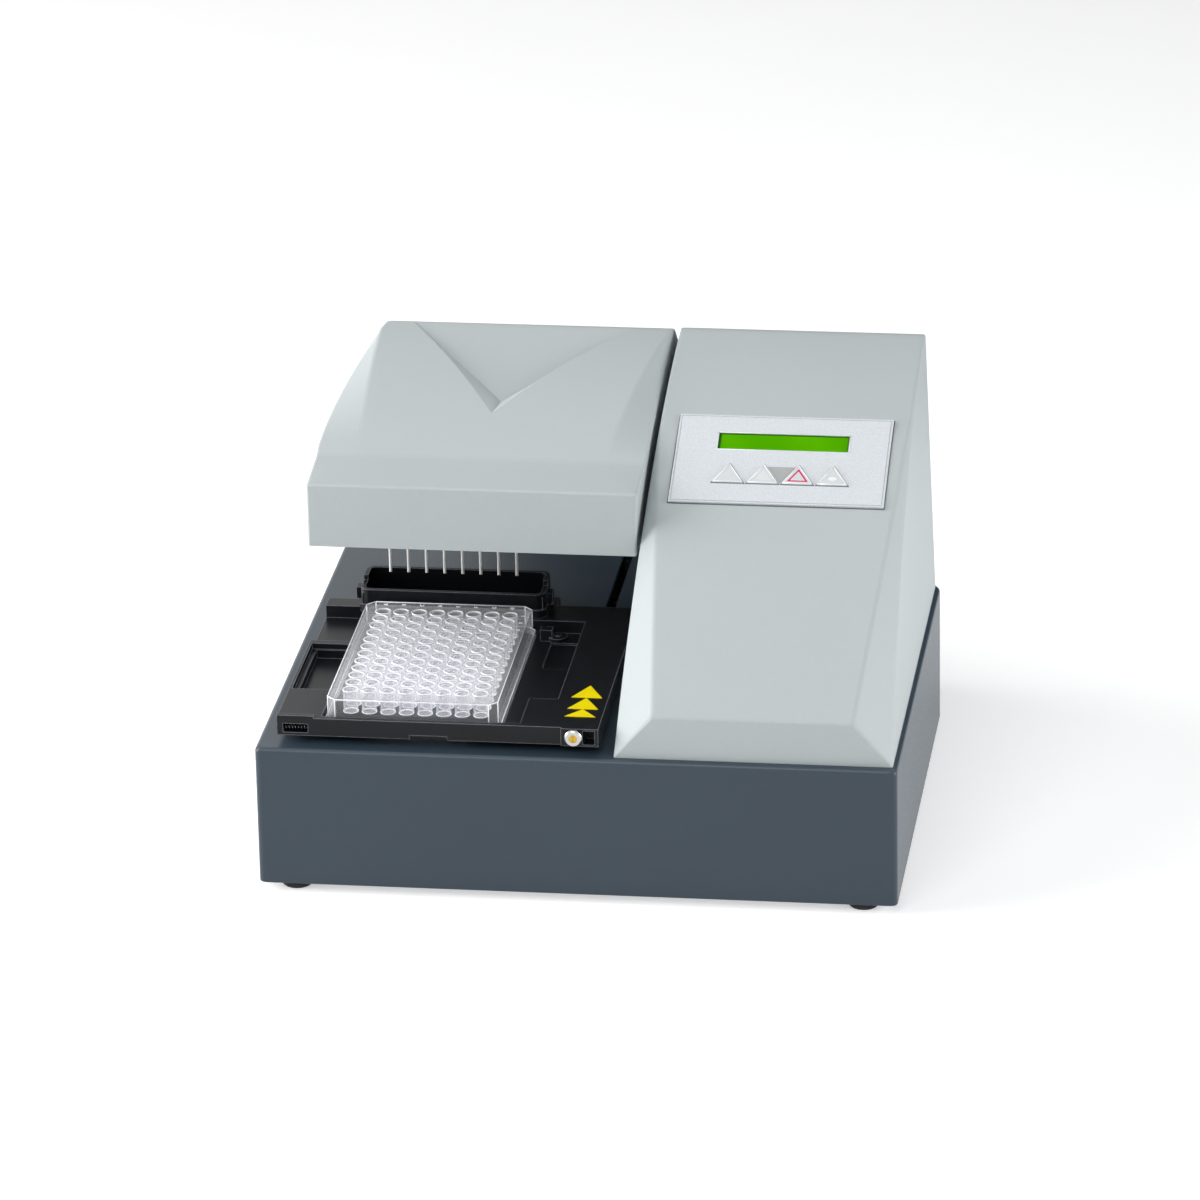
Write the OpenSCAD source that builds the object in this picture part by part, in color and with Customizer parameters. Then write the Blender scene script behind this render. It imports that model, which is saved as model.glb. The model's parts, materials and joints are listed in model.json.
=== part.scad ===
// Bench-top microplate washer with an eight-needle wash head and a sliding plate carrier.
// Millimetres, +Z up. The origin is under the middle of the whole, on the surface it stands on.
// Every piece is drawn in the plate's own frame and then moved: there x runs to the right and y to the
// back, both from the middle of the front left well, and z runs up from the rim of the plate.

/* [Base] */
// Depth of the base, front to back
base_d = 288; // [284:1:310]
// Height of the base housing
base_h = 70.5; // [68:0.5:85]
// Wall of the base housing
base_wall = 3; // [2:0.5:4]
// Thickness of the deck on top of the base
deck_t = 3; // [2:0.5:4]
// Length of the chamfer at the rear right corner
base_chamfer = 54; // [45:1:60]
// Thickness of the bottom plate
bottom_t = 2; // [1.5:0.5:3]
// Height of the rubber feet below the base
foot_h = 4; // [3:0.5:8]
// Radius of a rubber foot
foot_r = 7.5; // [5:0.5:7.5]
// Distance of the feet's middles from the sides of the base
foot_inset = 17; // [17:1:25]
// Distance of the feet's middles from the front and rear of the base
foot_front = 10.5; // [10:0.5:14]

/* [Plate and its place] */
// Distance from the left side of the base to the first column of wells
plate_from_left = 43; // [42:0.5:48]
// Distance from the front of the base to the first row of wells
plate_from_front = 26; // [25:0.5:32]
// Height of the plate's rim above the deck
rim_above_deck = 21; // [21:0.5:26]
// Width of the plate
plate_w = 85.48; // [85:0.02:86]
// Depth of the plate
plate_d = 127.76; // [127:0.02:128]
// Height of the plate
plate_h = 14.35; // [13.5:0.05:15]
// Inner radius of a well
well_r = 3.43; // [3:0.01:3.5]
// Depth of a well
well_depth = 10.67; // [10.5:0.01:11]
// Wall of the plate and of its wells
plate_wall = 0.9; // [0.6:0.1:1]

/* [Carrier] */
// Height of the carrier's top below the plate's rim
carrier_drop = 8; // [7:0.5:9]
// Thickness of the carrier
carrier_t = 9; // [8.5:0.5:10]
// Carrier's margin left of the plate
carrier_left_margin = 21.8; // [20:0.2:23]
// Carrier's margin right of the plate
carrier_right_margin = 47.8; // [46:0.2:50]
// Distance that the carrier slides back under the head
carrier_travel = 125; // [125:1:126]
// Clearance of the plate in its nest
nest_gap = 0.5; // [0.3:0.1:0.7]
// Gap between two pieces on different moving bodies
move_gap = 0.3; // [0.3:0.05:0.5]
// Width of the waste trough
trough_w = 92; // [88:1:94]
// Depth of the waste trough, front to back
trough_d = 26; // [24:1:28]
// Height of the trough's front rim above the plate's rim
trough_rise = 4; // [3:0.5:5]
// Height of the trough's rear rim above its front rim
trough_rear_rise = 2.6; // [1:0.2:3]
// Wall of the trough
trough_wall = 1.2; // [1:0.1:2.5]

/* [Tower cover] */
// Gap between the carrier and the tower's foot
tower_gap = 7.46; // [7:0.02:12]
// Width of the tower at the deck
tower_w = 135.5; // [130:0.5:137]
// Height of the tower above the deck
tower_h = 136; // [132:0.5:145]
// Height of the upright facet at the tower's foot
tower_facet_h = 21.5; // [18:0.5:25]
// Radius of the tower's main face, seen from the side
main_face_r = 406.7; // [380:0.1:460]
// Radius of the tower's side edges, seen from the side
side_edge_r = 357; // [340:1:400]
// Distance from the front of the tower to its top edge
tower_top_run = 227; // [220:1:232]
// Wall of the tower and head covers
cover_wall = 3; // [2:0.5:3.5]
// Distance from the rear of the base to the rear of the covers
cover_setback = 6; // [4:1:12]
// Height of the upright rear face of the covers above the deck
cover_rear_h = 97; // [95:1:105]

/* [Control panel] */
// Width of the control panel
panel_w = 104.3; // [100:0.1:108]
// Length of the control panel, along the slope
panel_l = 60; // [58:0.5:64]
// Thickness of the control panel
panel_t = 2; // [1.5:0.1:2.5]
// Width of the display window
lcd_w = 64; // [56:1:66]
// Height of the display window
lcd_h = 11.4; // [10:0.2:13]
// Width of a key at its base
key_w = 15; // [14:0.1:15.2]
// Height of a key, base to apex
key_h = 12.6; // [11:0.1:13]
// Distance between keys
key_pitch = 16.9; // [16.6:0.1:17.5]
// Distance from the panel's upper edge to the middle of the display
lcd_inset = 17.8; // [16:0.1:19]
// Distance from the panel's upper edge to the foot of the keys
key_inset = 46.5; // [45:0.5:48]
// Travel of a key
key_travel = 0.6; // [0.4:0.1:0.7]

/* [Head] */
// Height of the head's bottom edge above the plate's rim
head_lift_h = 50; // [48:0.5:54]
// Height of the head's front face
head_front_h = 32; // [30:0.5:35]
// Gap between the head and the tower at the bottom of the head
head_gap = 1.7; // [1.5:0.1:5]
// Distance from the plate's first column to the head's left side
head_overhang = 28.7; // [28:0.1:32]
// Distance from the first row of wells back to the head's front face
head_front = 58; // [56:1:62]
// Depth of the notch on top of the head
notch_depth = 3.7; // [2:0.1:4.5]
// Distance that the head drops
head_travel = 20.5; // [16:0.5:20.5]
// Distance from the first row of wells back to the needles
needle_y = 125; // [125:1:126]
// Height of the needle tips above the plate's rim
needle_tip = 11; // [11:0.5:12]
// Radius of a needle
needle_r = 0.75; // [0.5:0.05:1]

/* [Drives] */
// Radius of the carrier's guide shaft
slide_shaft_r = 4; // [3.5:0.5:4.5]
// Radius of the head's guide shafts
lift_shaft_r = 4; // [3:0.5:4.5]
// Radius of the head's lift screw
screw_r = 4; // [3:0.5:4.5]
// Running clearance of a shaft in its bushing
run_fit = 0.05; // [0.03:0.01:0.08]
// Radius of the belt's pulleys, to the belt's inner side
pulley_r = 8.3; // [7.5:0.1:8.5]
// Thickness of the belt
belt_t = 1.4; // [1:0.1:1.5]
// Width of the belt
belt_w = 6; // [5:0.5:7]
// Side of the square carrier motor
slide_motor_w = 35; // [28:1:35]
// Side of the square lift motor
lift_motor_w = 42; // [35:1:42]
// Height of the lift motor
lift_motor_h = 34; // [28:1:38]
// Width, depth and height of the power supply
psu_w = 66; // [50:1:66]
psu_d = 112; // [90:1:112]
psu_h = 36; // [25:1:40]

/* [Rear] */
// Width of the rear panel
rear_panel_w = 190; // [186:1:200]
// Height of the rear panel
rear_panel_h = 52; // [50:1:56]
// Outer radius of a hose barb's shaft
barb_r = 3; // [2.5:0.1:3.5]
// Length of a hose barb
barb_l = 16; // [12:1:22]

/* [Hidden] */

$fn = 48;
eps = 0.01;
dark = [0.23, 0.28, 0.32];
light = [0.74, 0.78, 0.78];
black = [0.06, 0.06, 0.07];
steel = [0.72, 0.73, 0.75];
pale = [0.82, 0.83, 0.84];

// A standard plate's wells, and the panel's keys
well_pitch = 9;
wells_across = 8;
wells_deep = 12;
key_count = 4;
last_x = (wells_across - 1) * well_pitch;
last_y = (wells_deep - 1) * well_pitch;

// Places of the base and the tower's foot, in the plate's frame
base_l = -plate_from_left;
tower_l = last_x / 2 + plate_w / 2 + carrier_right_margin + tower_gap;
base_r = tower_l + tower_w;
base_f = -plate_from_front;
base_b = base_f + base_d;
deck_z = -rim_above_deck;
base_z = deck_z - base_h;
floor_z = base_z - foot_h;
under_deck = deck_z - deck_t;
bottom_top = base_z + bottom_t;
chamfer_y = base_b - base_chamfer;
barb_tip = 4;
barb_end = base_b - base_wall + barb_l + barb_tip;

module place() {
  translate([-(base_l + base_r) / 2, -(base_f + barb_end) / 2, -floor_z]) children();
}

// Places of the plate and the carrier
plate_cx = last_x / 2;
plate_cy = last_y / 2;
plate_l = plate_cx - plate_w / 2;
plate_r = plate_cx + plate_w / 2;
plate_f = plate_cy - plate_d / 2;
plate_b = plate_cy + plate_d / 2;
carrier_l = plate_l - carrier_left_margin;
carrier_r = plate_r + carrier_right_margin;
front_wall = 3.1;
carrier_f = plate_f - nest_gap - front_wall;
carrier_top = -carrier_drop;
carrier_z = carrier_top - carrier_t;
nest_z = -plate_h - 0.1;
trough_l = plate_cx - trough_w / 2;
trough_f = plate_b + 3.6;
trough_b = trough_f + trough_d;
trough_floor = carrier_z + 2;
carrier_b = 134;

// Places of the tower. Its side edges and main face are arcs in the side view
tower_inset_r = 2.4;
tower_foot_r = base_r - tower_inset_r;
tower_f = base_f + 4;
tower_top = deck_z + tower_h;
top_y = tower_f + tower_top_run;
cover_b = base_b - cover_setback;
cover_rear_z = deck_z + cover_rear_h;
left_lean = 0.05;
right_lean = 0.036;
// Width and drop of the narrow break along the covers' upper edges
edge_break = 2.2;
edge_drop = 1.2;

function arc_centre(a, b, r) =
  let (m = (a + b) / 2, d = norm(b - a), u = (b - a) / d, h = sqrt(r * r - d * d / 4))
  m + h * [u[1], -u[0]];
function arc_z(y, c, r) = c[1] + sqrt(r * r - (y - c[0]) * (y - c[0]));
function clamp(v, lo, hi) = max(lo, min(hi, v));
function ramp(y) = (y - top_y) / (cover_b - top_y);

main_c = arc_centre([tower_f, deck_z + tower_facet_h], [top_y, tower_top], main_face_r);
side_c = arc_centre([tower_f, deck_z], [top_y, tower_top], side_edge_r);

function tower_main_z(y) =
  y <= top_y ? arc_z(y, main_c, main_face_r) : tower_top + (cover_rear_z - tower_top) * ramp(y);
function tower_side_z(y) =
  min(y <= top_y ? arc_z(y, side_c, side_edge_r) : tower_top, tower_main_z(y) - edge_drop);
function tower_left_x(z) = tower_l + left_lean * (z - deck_z);
function tower_right_x(z, y) =
  tower_foot_r - right_lean * (z - deck_z) - max(0, y - chamfer_y);

// Inner ends of the bevels on the tower's main face
function tower_in_left(y) =
  max(tower_l + 18.5 - 0.0907 * (y - tower_f), tower_left_x(tower_side_z(y)) + edge_break);
function tower_in_right(y) =
  let (t = clamp((y - tower_f) / tower_top_run, 0, 1))
  min(base_r - 6.7 - 14.6 * pow(1 - t, 2.4), tower_right_x(tower_side_z(y), y) - edge_break);

// One section of the tower across x, drawn in by t
function tower_section(y, t) =
  let (
    zb = t > 0 ? deck_z - 5 : deck_z,
    zs = max(tower_side_z(y) - t, zb + 0.6),
    zm = tower_main_z(y) - t
  )
  [
    [tower_left_x(zb) + t, y, zb],
    [tower_left_x(zs) + t, y, zs],
    [tower_in_left(y) + t * 0.6, y, zm],
    [tower_in_right(y) - t * 0.6, y, zm],
    [tower_right_x(zs, y) - t, y, zs],
    [tower_right_x(zb, y) - t, y, zb]
  ];

function tower_stations(a, b) = concat(
  [a],
  [for (y = [tower_f + 6 : 10 : top_y - 5]) y],
  [top_y, chamfer_y + 3, (top_y + cover_b) / 2, b]
);

// A solid through a list of sections with equally many points
module loft(sections) {
  n = len(sections[0]);
  m = len(sections);
  points = [for (s = sections) for (p = s) p];
  sides = [
    for (i = [0 : m - 2]) for (j = [0 : n - 1])
      let (k = (j + 1) % n)
      each [
        [i * n + j, (i + 1) * n + k, i * n + k],
        [i * n + j, (i + 1) * n + j, (i + 1) * n + k]
      ]
  ];
  front = [[for (j = [0 : n - 1]) j]];
  back = [[for (j = [n - 1 : -1 : 0]) (m - 1) * n + j]];
  polyhedron(points, concat(front, sides, back), convexity = 6);
}

// Places of the control panel on the main face
panel_cx = tower_l + 67.7;
panel_cy = tower_f + 123.5;
panel_cz = tower_main_z(panel_cy);
panel_tilt = atan((main_c[0] - panel_cy) / (panel_cz - main_c[1]));
panel_sag = panel_l * panel_l / (8 * main_face_r);
panel_seat = -0.7;
panel_top = panel_seat + panel_t;
panel_edge = 3;
groove_in = 0.8;
groove_w = 0.5;
lcd_v = panel_l / 2 - lcd_inset;
lcd_rim_w = 8;
lcd_rim_h = 6.3;
lcd_flange = 3;
lcd_module_w = lcd_w + 2 * lcd_rim_w;
lcd_module_h = lcd_h + 2 * lcd_rim_h;
lcd_module_t = 6;
key_v = panel_l / 2 - key_inset;
key_u0 = -(key_count - 1) * key_pitch / 2 + 0.75;
key_rise = 0.8;
key_gap = 0.3;
flange_t = 1.1;
flange_lap = 0.15;
stem_l = 3;
board_w = panel_seat - 6.3;
board_t = 1.6;
board_edge = 3;

module on_panel() {
  place()
    translate([panel_cx, panel_cy, panel_cz])
      rotate([panel_tilt, 0, 0])
        translate([0, 0, -panel_sag])
          children();
}

// Places of the head
head_z = head_lift_h;
head_f = head_front;
head_l = -head_overhang;
head_r = tower_left_x(head_z) - head_gap;
head_edge_z = head_z + head_front_h;
head_top = tower_top - 0.8;
bevel_y = head_f + 30;
bevel_in = 20;
head_face_r = 305;
head_face_z = head_edge_z + 4;
head_c = arc_centre([bevel_y, head_face_z], [top_y, head_top], head_face_r);
head_shoulder = 17.5;

function head_main_z(y) =
  y <= bevel_y ? head_edge_z + (head_face_z - head_edge_z) * (y - head_f) / (bevel_y - head_f) :
  y <= top_y ? arc_z(y, head_c, head_face_r) :
  head_top + (cover_rear_z - head_top) * ramp(y);
function head_side_z(y) =
  let (t = clamp((y - head_f) / (top_y - head_f), 0, 1))
  min(head_edge_z + (head_top - head_edge_z) * pow(t, 1.15), head_main_z(y) - edge_drop);
function head_left_x(y) =
  let (turn = head_f + 37)
  y <= top_y ?
    head_l + head_shoulder * pow(max(0, (y - turn) / (top_y - turn)), 1.7) :
    head_l + head_shoulder * (head_main_z(y) - head_z) / (head_top - head_z);
function head_right_x(z) = head_r + left_lean / 2 * (z - head_z);
function head_in_left(y) =
  let (
    t = clamp((y - head_f) / (bevel_y - head_f), 0, 1),
    s = clamp((y - bevel_y) / (top_y - bevel_y), 0, 1)
  )
  max(head_l + bevel_in * t - 5 * s, head_left_x(y) + edge_break);
function head_in_right(y) =
  let (
    t = clamp((y - head_f) / (bevel_y - head_f), 0, 1),
    s = clamp((y - bevel_y) / (top_y - bevel_y), 0, 1)
  )
  min(head_r - (bevel_in - 0.6) * t + 20.5 * s, head_right_x(head_side_z(y)) - edge_break);

// The notch: slanted arms that run from the top edge to a point, deepest at the point
notch_x = 53.4;
notch_y = head_f + 61.5;
notch_in_y = notch_y + 14;
notch_in_x = notch_x + 2.6;
notch_left = notch_x - 52;
notch_right = notch_x + 61.3;
function mix(a, b, t) = a + (b - a) * t;
function notch_out(y, end) = mix(notch_x, end, clamp((y - notch_y) / (top_y - notch_y), 0, 1));
function notch_in(y, end) =
  y < notch_in_y ?
    mix(notch_x, notch_in_x, clamp((y - notch_y) / (notch_in_y - notch_y), 0, 1)) :
    mix(notch_in_x, end, clamp((y - notch_in_y) / (top_y - notch_in_y), 0, 1));
function notch_z(y) =
  y <= notch_y || y >= top_y ? head_main_z(y) :
  y < notch_in_y ?
    mix(head_main_z(notch_y), head_main_z(notch_in_y) - notch_depth,
        (y - notch_y) / (notch_in_y - notch_y)) :
    mix(head_main_z(notch_in_y) - notch_depth, head_top, (y - notch_in_y) / (top_y - notch_in_y));

// One section of the head across x, drawn in by t
function head_section(y, t) =
  let (
    zs = head_side_z(y) - t,
    zm = head_main_z(y) - t * 1.05,
    zn = notch_z(y) - t * 1.05,
    zb = t > 0 ? head_z - 5 : head_z
  )
  [
    [head_l + t, y, zb],
    [head_left_x(y) + t, y, zs],
    [head_in_left(y) + t * 0.8, y, zm],
    [notch_out(y, notch_left) - 0.6, y, zm],
    [notch_in(y, notch_left) - 0.3, y, zn],
    [notch_in(y, notch_right) + 0.3, y, zn],
    [notch_out(y, notch_right) + 0.6, y, zm],
    [head_in_right(y) - t * 0.8, y, zm],
    [head_right_x(zs) - t, y, zs],
    [head_right_x(zb) - t, y, zb]
  ];

function head_stations(a, b) = concat(
  [a],
  [for (y = [head_f + 8 : 11 : bevel_y - 5]) y],
  [bevel_y, bevel_y + 10, bevel_y + 20, notch_y, notch_y + 7, notch_in_y],
  [for (y = [notch_in_y + 9 : 10 : top_y - 6]) y],
  [top_y, (top_y + cover_b) / 2, b]
);

// Places of the head's inner parts
chassis_z = head_z + 10;
chassis_t = 3;
chassis_gap = 0.5;
manifold_z = head_z + 1.2;
manifold_over = 8;
manifold_half = 9;
manifold_screw_in = 5;
manifold_screw_y = 4.5;
manifold_l = -manifold_over;
manifold_r = last_x + manifold_over;
manifold_f = needle_y - manifold_half;
manifold_b = needle_y + manifold_half;
arm_y = 170;
arm_w = 36;
arm_t = 8;
arm_z = chassis_z - arm_t;
lift_x = tower_l + 35.5;
lift_span = 44;
lift_block_z = head_z;
lift_block_h = 22;
lift_block_w = 30;
lift_block_end = 10;
lift_block_l = lift_span + 2 * lift_block_end;
frame_t = 4;
lift_frame_w = 54;
lift_frame_l = lift_block_l;
lift_over = 12;
lift_top_z = lift_block_z + lift_block_h + lift_over;
slot_gap = 1.5;
bush_wall = 3;
nut_r = screw_r + 3;
boss_r = 3.6;
boss_hole_r = 1.3;

function head_boss_places() = [
  [head_l + 12, head_f + 12],
  [head_r - 13, head_f + 12],
  [head_l + 17, cover_b - 14],
  [head_r - 13, cover_b - 14]
];
function tower_boss_places() = [
  [tower_l + 7, tower_f + 52],
  [tower_foot_r - 7, tower_f + 52],
  [tower_l + 7, cover_b - 9],
  [base_r - 60, cover_b - 6.5]
];

// Places of the carrier's drive
slot_x = plate_r + 29.3;
slot_w = 5;
arm_thin = 3.6;
bracket_f = 65;
bracket_l = 40;
slot_f = bracket_f - 5;
slot_b = bracket_f + bracket_l + carrier_travel + 6;
shaft_x = slot_x + 4.5;
shaft_z = under_deck - 14;
slide_bush_r = slide_shaft_r + 2;
block_half = slide_bush_r + 1.5;
block_l = slot_x - arm_thin / 2;
block_r = shaft_x + block_half;
belt_gap = 0.5;
pulley_x = block_r + belt_gap + belt_t + pulley_r;
idler_y = 10;
drive_y = base_b - 26;
belt_z = shaft_z - 1 - belt_w / 2;
pulley_h = belt_w + 2;
pulley_z = belt_z + belt_w / 2 - pulley_h / 2;
motor_plate_z = shaft_z - 11;
motor_plate_t = 2;
motor_body_h = 26;

// Places of the rear panel and what it carries
panel_b = base_b - base_wall;
rear_t = 2;
rear_l = plate_cx - 23.5;
rear_z = bottom_top + 3.5;
rear_cz = rear_z + rear_panel_h / 2;
barb_x = rear_l + 13;
barb_pitch = 16;
port_x = rear_l + 74;
switch_x = rear_l + 146;
inlet_x = rear_l + 167;
switch_tilt = 8;
rocker_y = panel_b + 0.4;

screw_r3 = 1.5;
head_r3 = 2.8;
head_h3 = 1.8;

module rounded(w, d, h, r) {
  translate([r, r, 0])
    linear_extrude(h)
      union() {
        translate([-r, 0]) square([w, d - 2 * r]);
        translate([0, -r]) square([w - 2 * r, d]);
        for (x = [0, w - 2 * r]) for (y = [0, d - 2 * r]) translate([x, y]) circle(r);
      }
}

// A pan-head screw that points up, its head's underside at the origin
module screw_up(length, r = screw_r3) {
  rotate_extrude()
    polygon([[0, -head_h3], [head_r3 - 0.4, -head_h3], [head_r3, -head_h3 + 0.5], [head_r3, 0],
             [r, 0], [r, length], [0, length]]);
}

function base_outline(i) = [
  [base_l + i, base_f + i],
  [base_r - i, base_f + i],
  [base_r - i, chamfer_y - i * 0.414],
  [base_r - base_chamfer - i * 0.414, base_b - i],
  [base_l + i, base_b - i]
];

function base_boss_places() = [
  [base_l + 7, base_f + 7],
  [base_r - 7, base_f + 7],
  [base_l + 7, base_b - 7],
  [base_r - base_chamfer - 3, base_b - 7],
  [(base_l + base_r) / 2, base_f + 7],
  [base_l + 7, (base_f + base_b) / 2]
];
base_boss_r = 5;
base_boss_h = 15;

module base_housing() {
  color(dark)
    place()
      difference() {
        union() {
          difference() {
            translate([0, 0, base_z])
              linear_extrude(base_h) polygon(base_outline(0));
            translate([0, 0, base_z - 1])
              linear_extrude(base_h - deck_t + 1) polygon(base_outline(base_wall));
          }
          for (p = base_boss_places())
            translate([p[0], p[1], bottom_top]) cylinder(h = base_boss_h, r = base_boss_r);
        }
        for (p = base_boss_places())
          translate([p[0], p[1], bottom_top - 1]) cylinder(h = 13, r = boss_hole_r);
        // Slot for the carrier's bracket
        translate([slot_x - slot_w / 2, slot_f, under_deck - 1])
          cube([slot_w, slot_b - slot_f, deck_t + 2]);
        // Opening for the lift motor, under the lift frame
        translate([lift_x - lift_motor_w / 2 - 0.5, arm_y - lift_motor_w / 2 - 0.5, under_deck - 1])
          cube([lift_motor_w + 1, lift_motor_w + 1, deck_t + 2]);
        // Hole for the tubes, under the tower
        translate([tube_x, tube_y, under_deck - 1]) cylinder(h = deck_t + 2, r = 11);
        for (p = tower_boss_places())
          translate([p[0], p[1], under_deck - 1]) cylinder(h = deck_t + 2, r = 1.7);
        // Opening for the rear panel
        translate([rear_l + 5, panel_b - 1, rear_z + 4])
          cube([rear_panel_w - 10, base_wall + 2, rear_panel_h - 8]);
        for (x = [rear_l + 2.5, rear_l + rear_panel_w - 2.5])
          translate([x, panel_b - 1, rear_cz]) rotate([-90, 0, 0]) cylinder(h = base_wall + 2, r = 1.6);
      }
}

function foot_places() = [
  [base_l + foot_inset, base_f + foot_front],
  [base_r - foot_inset, base_f + foot_front],
  [base_l + foot_inset, base_b - foot_front],
  [base_r - base_chamfer - foot_inset, base_b - foot_front]
];
foot_stem_r = 3;
foot_fit = 0.05;

module bottom_plate() {
  color(steel)
    place()
      difference() {
        translate([0, 0, base_z]) linear_extrude(bottom_t) polygon(base_outline(base_wall + 0.2));
        for (p = base_boss_places())
          translate([p[0], p[1], base_z - 1]) cylinder(h = bottom_t + 2, r = 1.7);
        for (p = foot_places())
          translate([p[0], p[1], base_z - 1]) cylinder(h = bottom_t + 2, r = foot_stem_r + foot_fit);
        for (i = [0 : 7])
          translate([psu_l + 6 + i * 7, psu_f + 20, base_z - 1]) cube([3, 50, bottom_t + 2]);
      }
}

module rubber_feet() {
  color(black)
    place()
      for (p = foot_places())
        translate([p[0], p[1], floor_z])
          rotate_extrude()
            polygon([[0, 0], [foot_r - 1, 0], [foot_r, 1], [foot_r - 0.4, foot_h], [foot_stem_r, foot_h],
                     [foot_stem_r, foot_h + bottom_t], [foot_stem_r + 0.8, foot_h + bottom_t],
                     [foot_stem_r - 0.6, foot_h + bottom_t + 2], [0, foot_h + bottom_t + 2]]);
}

module bottom_screws() {
  color(steel)
    place()
      for (p = base_boss_places()) translate([p[0], p[1], base_z]) screw_up(bottom_t + 10, boss_hole_r);
}

module rear_panel() {
  color(steel)
    place()
      difference() {
        translate([rear_l, panel_b - rear_t, rear_z]) cube([rear_panel_w, rear_t, rear_panel_h]);
        for (x = [rear_l + 2.5, rear_l + rear_panel_w - 2.5])
          translate([x, panel_b - rear_t - 1, rear_cz])
            rotate([-90, 0, 0]) cylinder(h = rear_t + 2, r = 1.6);
        for (i = [0 : 2])
          translate([barb_x + i * barb_pitch, panel_b - rear_t - 1, rear_cz])
            rotate([-90, 0, 0]) cylinder(h = rear_t + 2, r = barb_r + 1);
        translate([port_x - port_w / 2, panel_b - rear_t - 1, rear_cz - port_h / 2])
          cube([port_w, rear_t + 2, port_h]);
        translate([switch_x - switch_w / 2, panel_b - rear_t - 1, rear_cz - switch_h / 2])
          cube([switch_w, rear_t + 2, switch_h]);
        translate([inlet_x - inlet_w / 2, panel_b - rear_t - 1, rear_cz - inlet_h / 2])
          cube([inlet_w, rear_t + 2, inlet_h]);
      }
}

module rear_panel_screws() {
  color(steel)
    place()
      for (x = [rear_l + 2.5, rear_l + rear_panel_w - 2.5])
        translate([x, base_b, rear_cz]) rotate([90, 0, 0]) screw_up(base_wall + rear_t + 3);
}

port_w = 31;
port_h = 12;

module data_port() {
  color(steel)
    place()
      difference() {
        union() {
          translate([port_x - port_w / 2 + 0.2, panel_b - rear_t - 8, rear_cz - port_h / 2 + 0.2])
            cube([port_w - 0.4, rear_t + 13, port_h - 0.4]);
          translate([port_x - port_w / 2 - 4, panel_b - rear_t - 3, rear_cz - port_h / 2 - 2])
            cube([port_w + 8, 3, port_h + 4]);
        }
        translate([port_x - port_w / 2 + 1.2, panel_b - rear_t, rear_cz - port_h / 2 + 1.2])
          cube([port_w - 2.4, 12, port_h - 2.4]);
      }
}

switch_w = 13;
switch_h = 20;
rocker_l = 16;
rocker_w = 9.6;

rocker_gap = 0.4;
rocker_pin_r = 1.2;
rocker_pin_l = 0.8;

module power_switch_shape() {
  // Rocker, drawn upright with its pivot at the origin and its face towards +y
  rotate([90, 0, 90])
    union() {
      linear_extrude(rocker_w, center = true)
        polygon([[-1, -rocker_l / 2], [3.2, -rocker_l / 2], [2, 0], [3.2, rocker_l / 2],
                 [-1, rocker_l / 2], [-3, 0]]);
      cylinder(h = rocker_w + 2 * rocker_gap + rocker_pin_l, r = rocker_pin_r, center = true);
    }
}

module power_switch() {
  color(black)
    place()
      translate([switch_x, rocker_y, rear_cz]) rotate([switch_tilt, 0, 0]) power_switch_shape();
}

inlet_w = 28;
inlet_h = 21;
inlet_depth = 20;

module power_inlet() {
  // Mains inlet and the frame of the power switch beside it, in one moulding
  color(black)
    place()
      difference() {
        union() {
          translate([inlet_x - inlet_w / 2 + fit_gap, panel_b - rear_t - inlet_depth,
                     rear_cz - inlet_h / 2 + fit_gap])
            cube([inlet_w - 2 * fit_gap, rear_t + inlet_depth + 1, inlet_h - 2 * fit_gap]);
          translate([inlet_x - inlet_w / 2 - 3, panel_b, rear_cz - inlet_h / 2 - 3])
            cube([inlet_w + 6, 2.5, inlet_h + 6]);
          translate([switch_x - switch_w / 2 + 0.2, panel_b - rear_t - 12, rear_cz - switch_h / 2 + 0.2])
            cube([switch_w - 0.4, rear_t + 13, switch_h - 0.4]);
          translate([switch_x - switch_w / 2 - 2, panel_b, rear_cz - switch_h / 2 - 2])
            cube([inlet_x - switch_x, 2.5, switch_h + 4]);
        }
        translate([inlet_x - inlet_w / 2 + 2, panel_b - 14, rear_cz - inlet_h / 2 + 2])
          cube([inlet_w - 4, 20, inlet_h - 4]);
        translate([switch_x - rocker_w / 2 - rocker_gap, panel_b - 6, rear_cz - rocker_l / 2 - 1])
          cube([rocker_w + 2 * rocker_gap, 12, rocker_l + 2]);
        translate([switch_x, rocker_y, rear_cz])
          rotate([0, 90, 0])
            cylinder(h = rocker_w + 2 * rocker_gap + rocker_pin_l + 0.4, r = rocker_pin_r + run_fit,
                     center = true);
      }
}

barb_count = 3;
ridge_count = 3;
ridge_r = barb_r + 0.8;
ridge_land = 0.8;
barb_flange = 3;
ridge_pitch = (barb_l - barb_flange - 1) / ridge_count;

// Outline of a barb's foot, in the wall of the rear panel and on both sides of it
function barb_foot() = [
  [0, -rear_t - 9],
  [barb_r, -rear_t - 9],
  [barb_r, -rear_t - 3],
  [barb_r + 3.5, -rear_t - 3],
  [barb_r + 3.5, -rear_t],
  [barb_r + 0.98, -rear_t],
  [barb_r + 0.98, 0],
  [barb_r + 4, 0],
  [barb_r + 4, barb_flange],
  [barb_r, barb_flange]
];

// One ridge: a step up to a short land that all ridges share, then a slope down towards the tip
function barb_ridge(k) =
  let (y = barb_flange + 3.5 + k * ridge_pitch)
  [
    [barb_r, y],
    [ridge_r, y],
    [ridge_r, y + ridge_land],
    [barb_r, y + ridge_pitch - 0.4]
  ];

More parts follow.
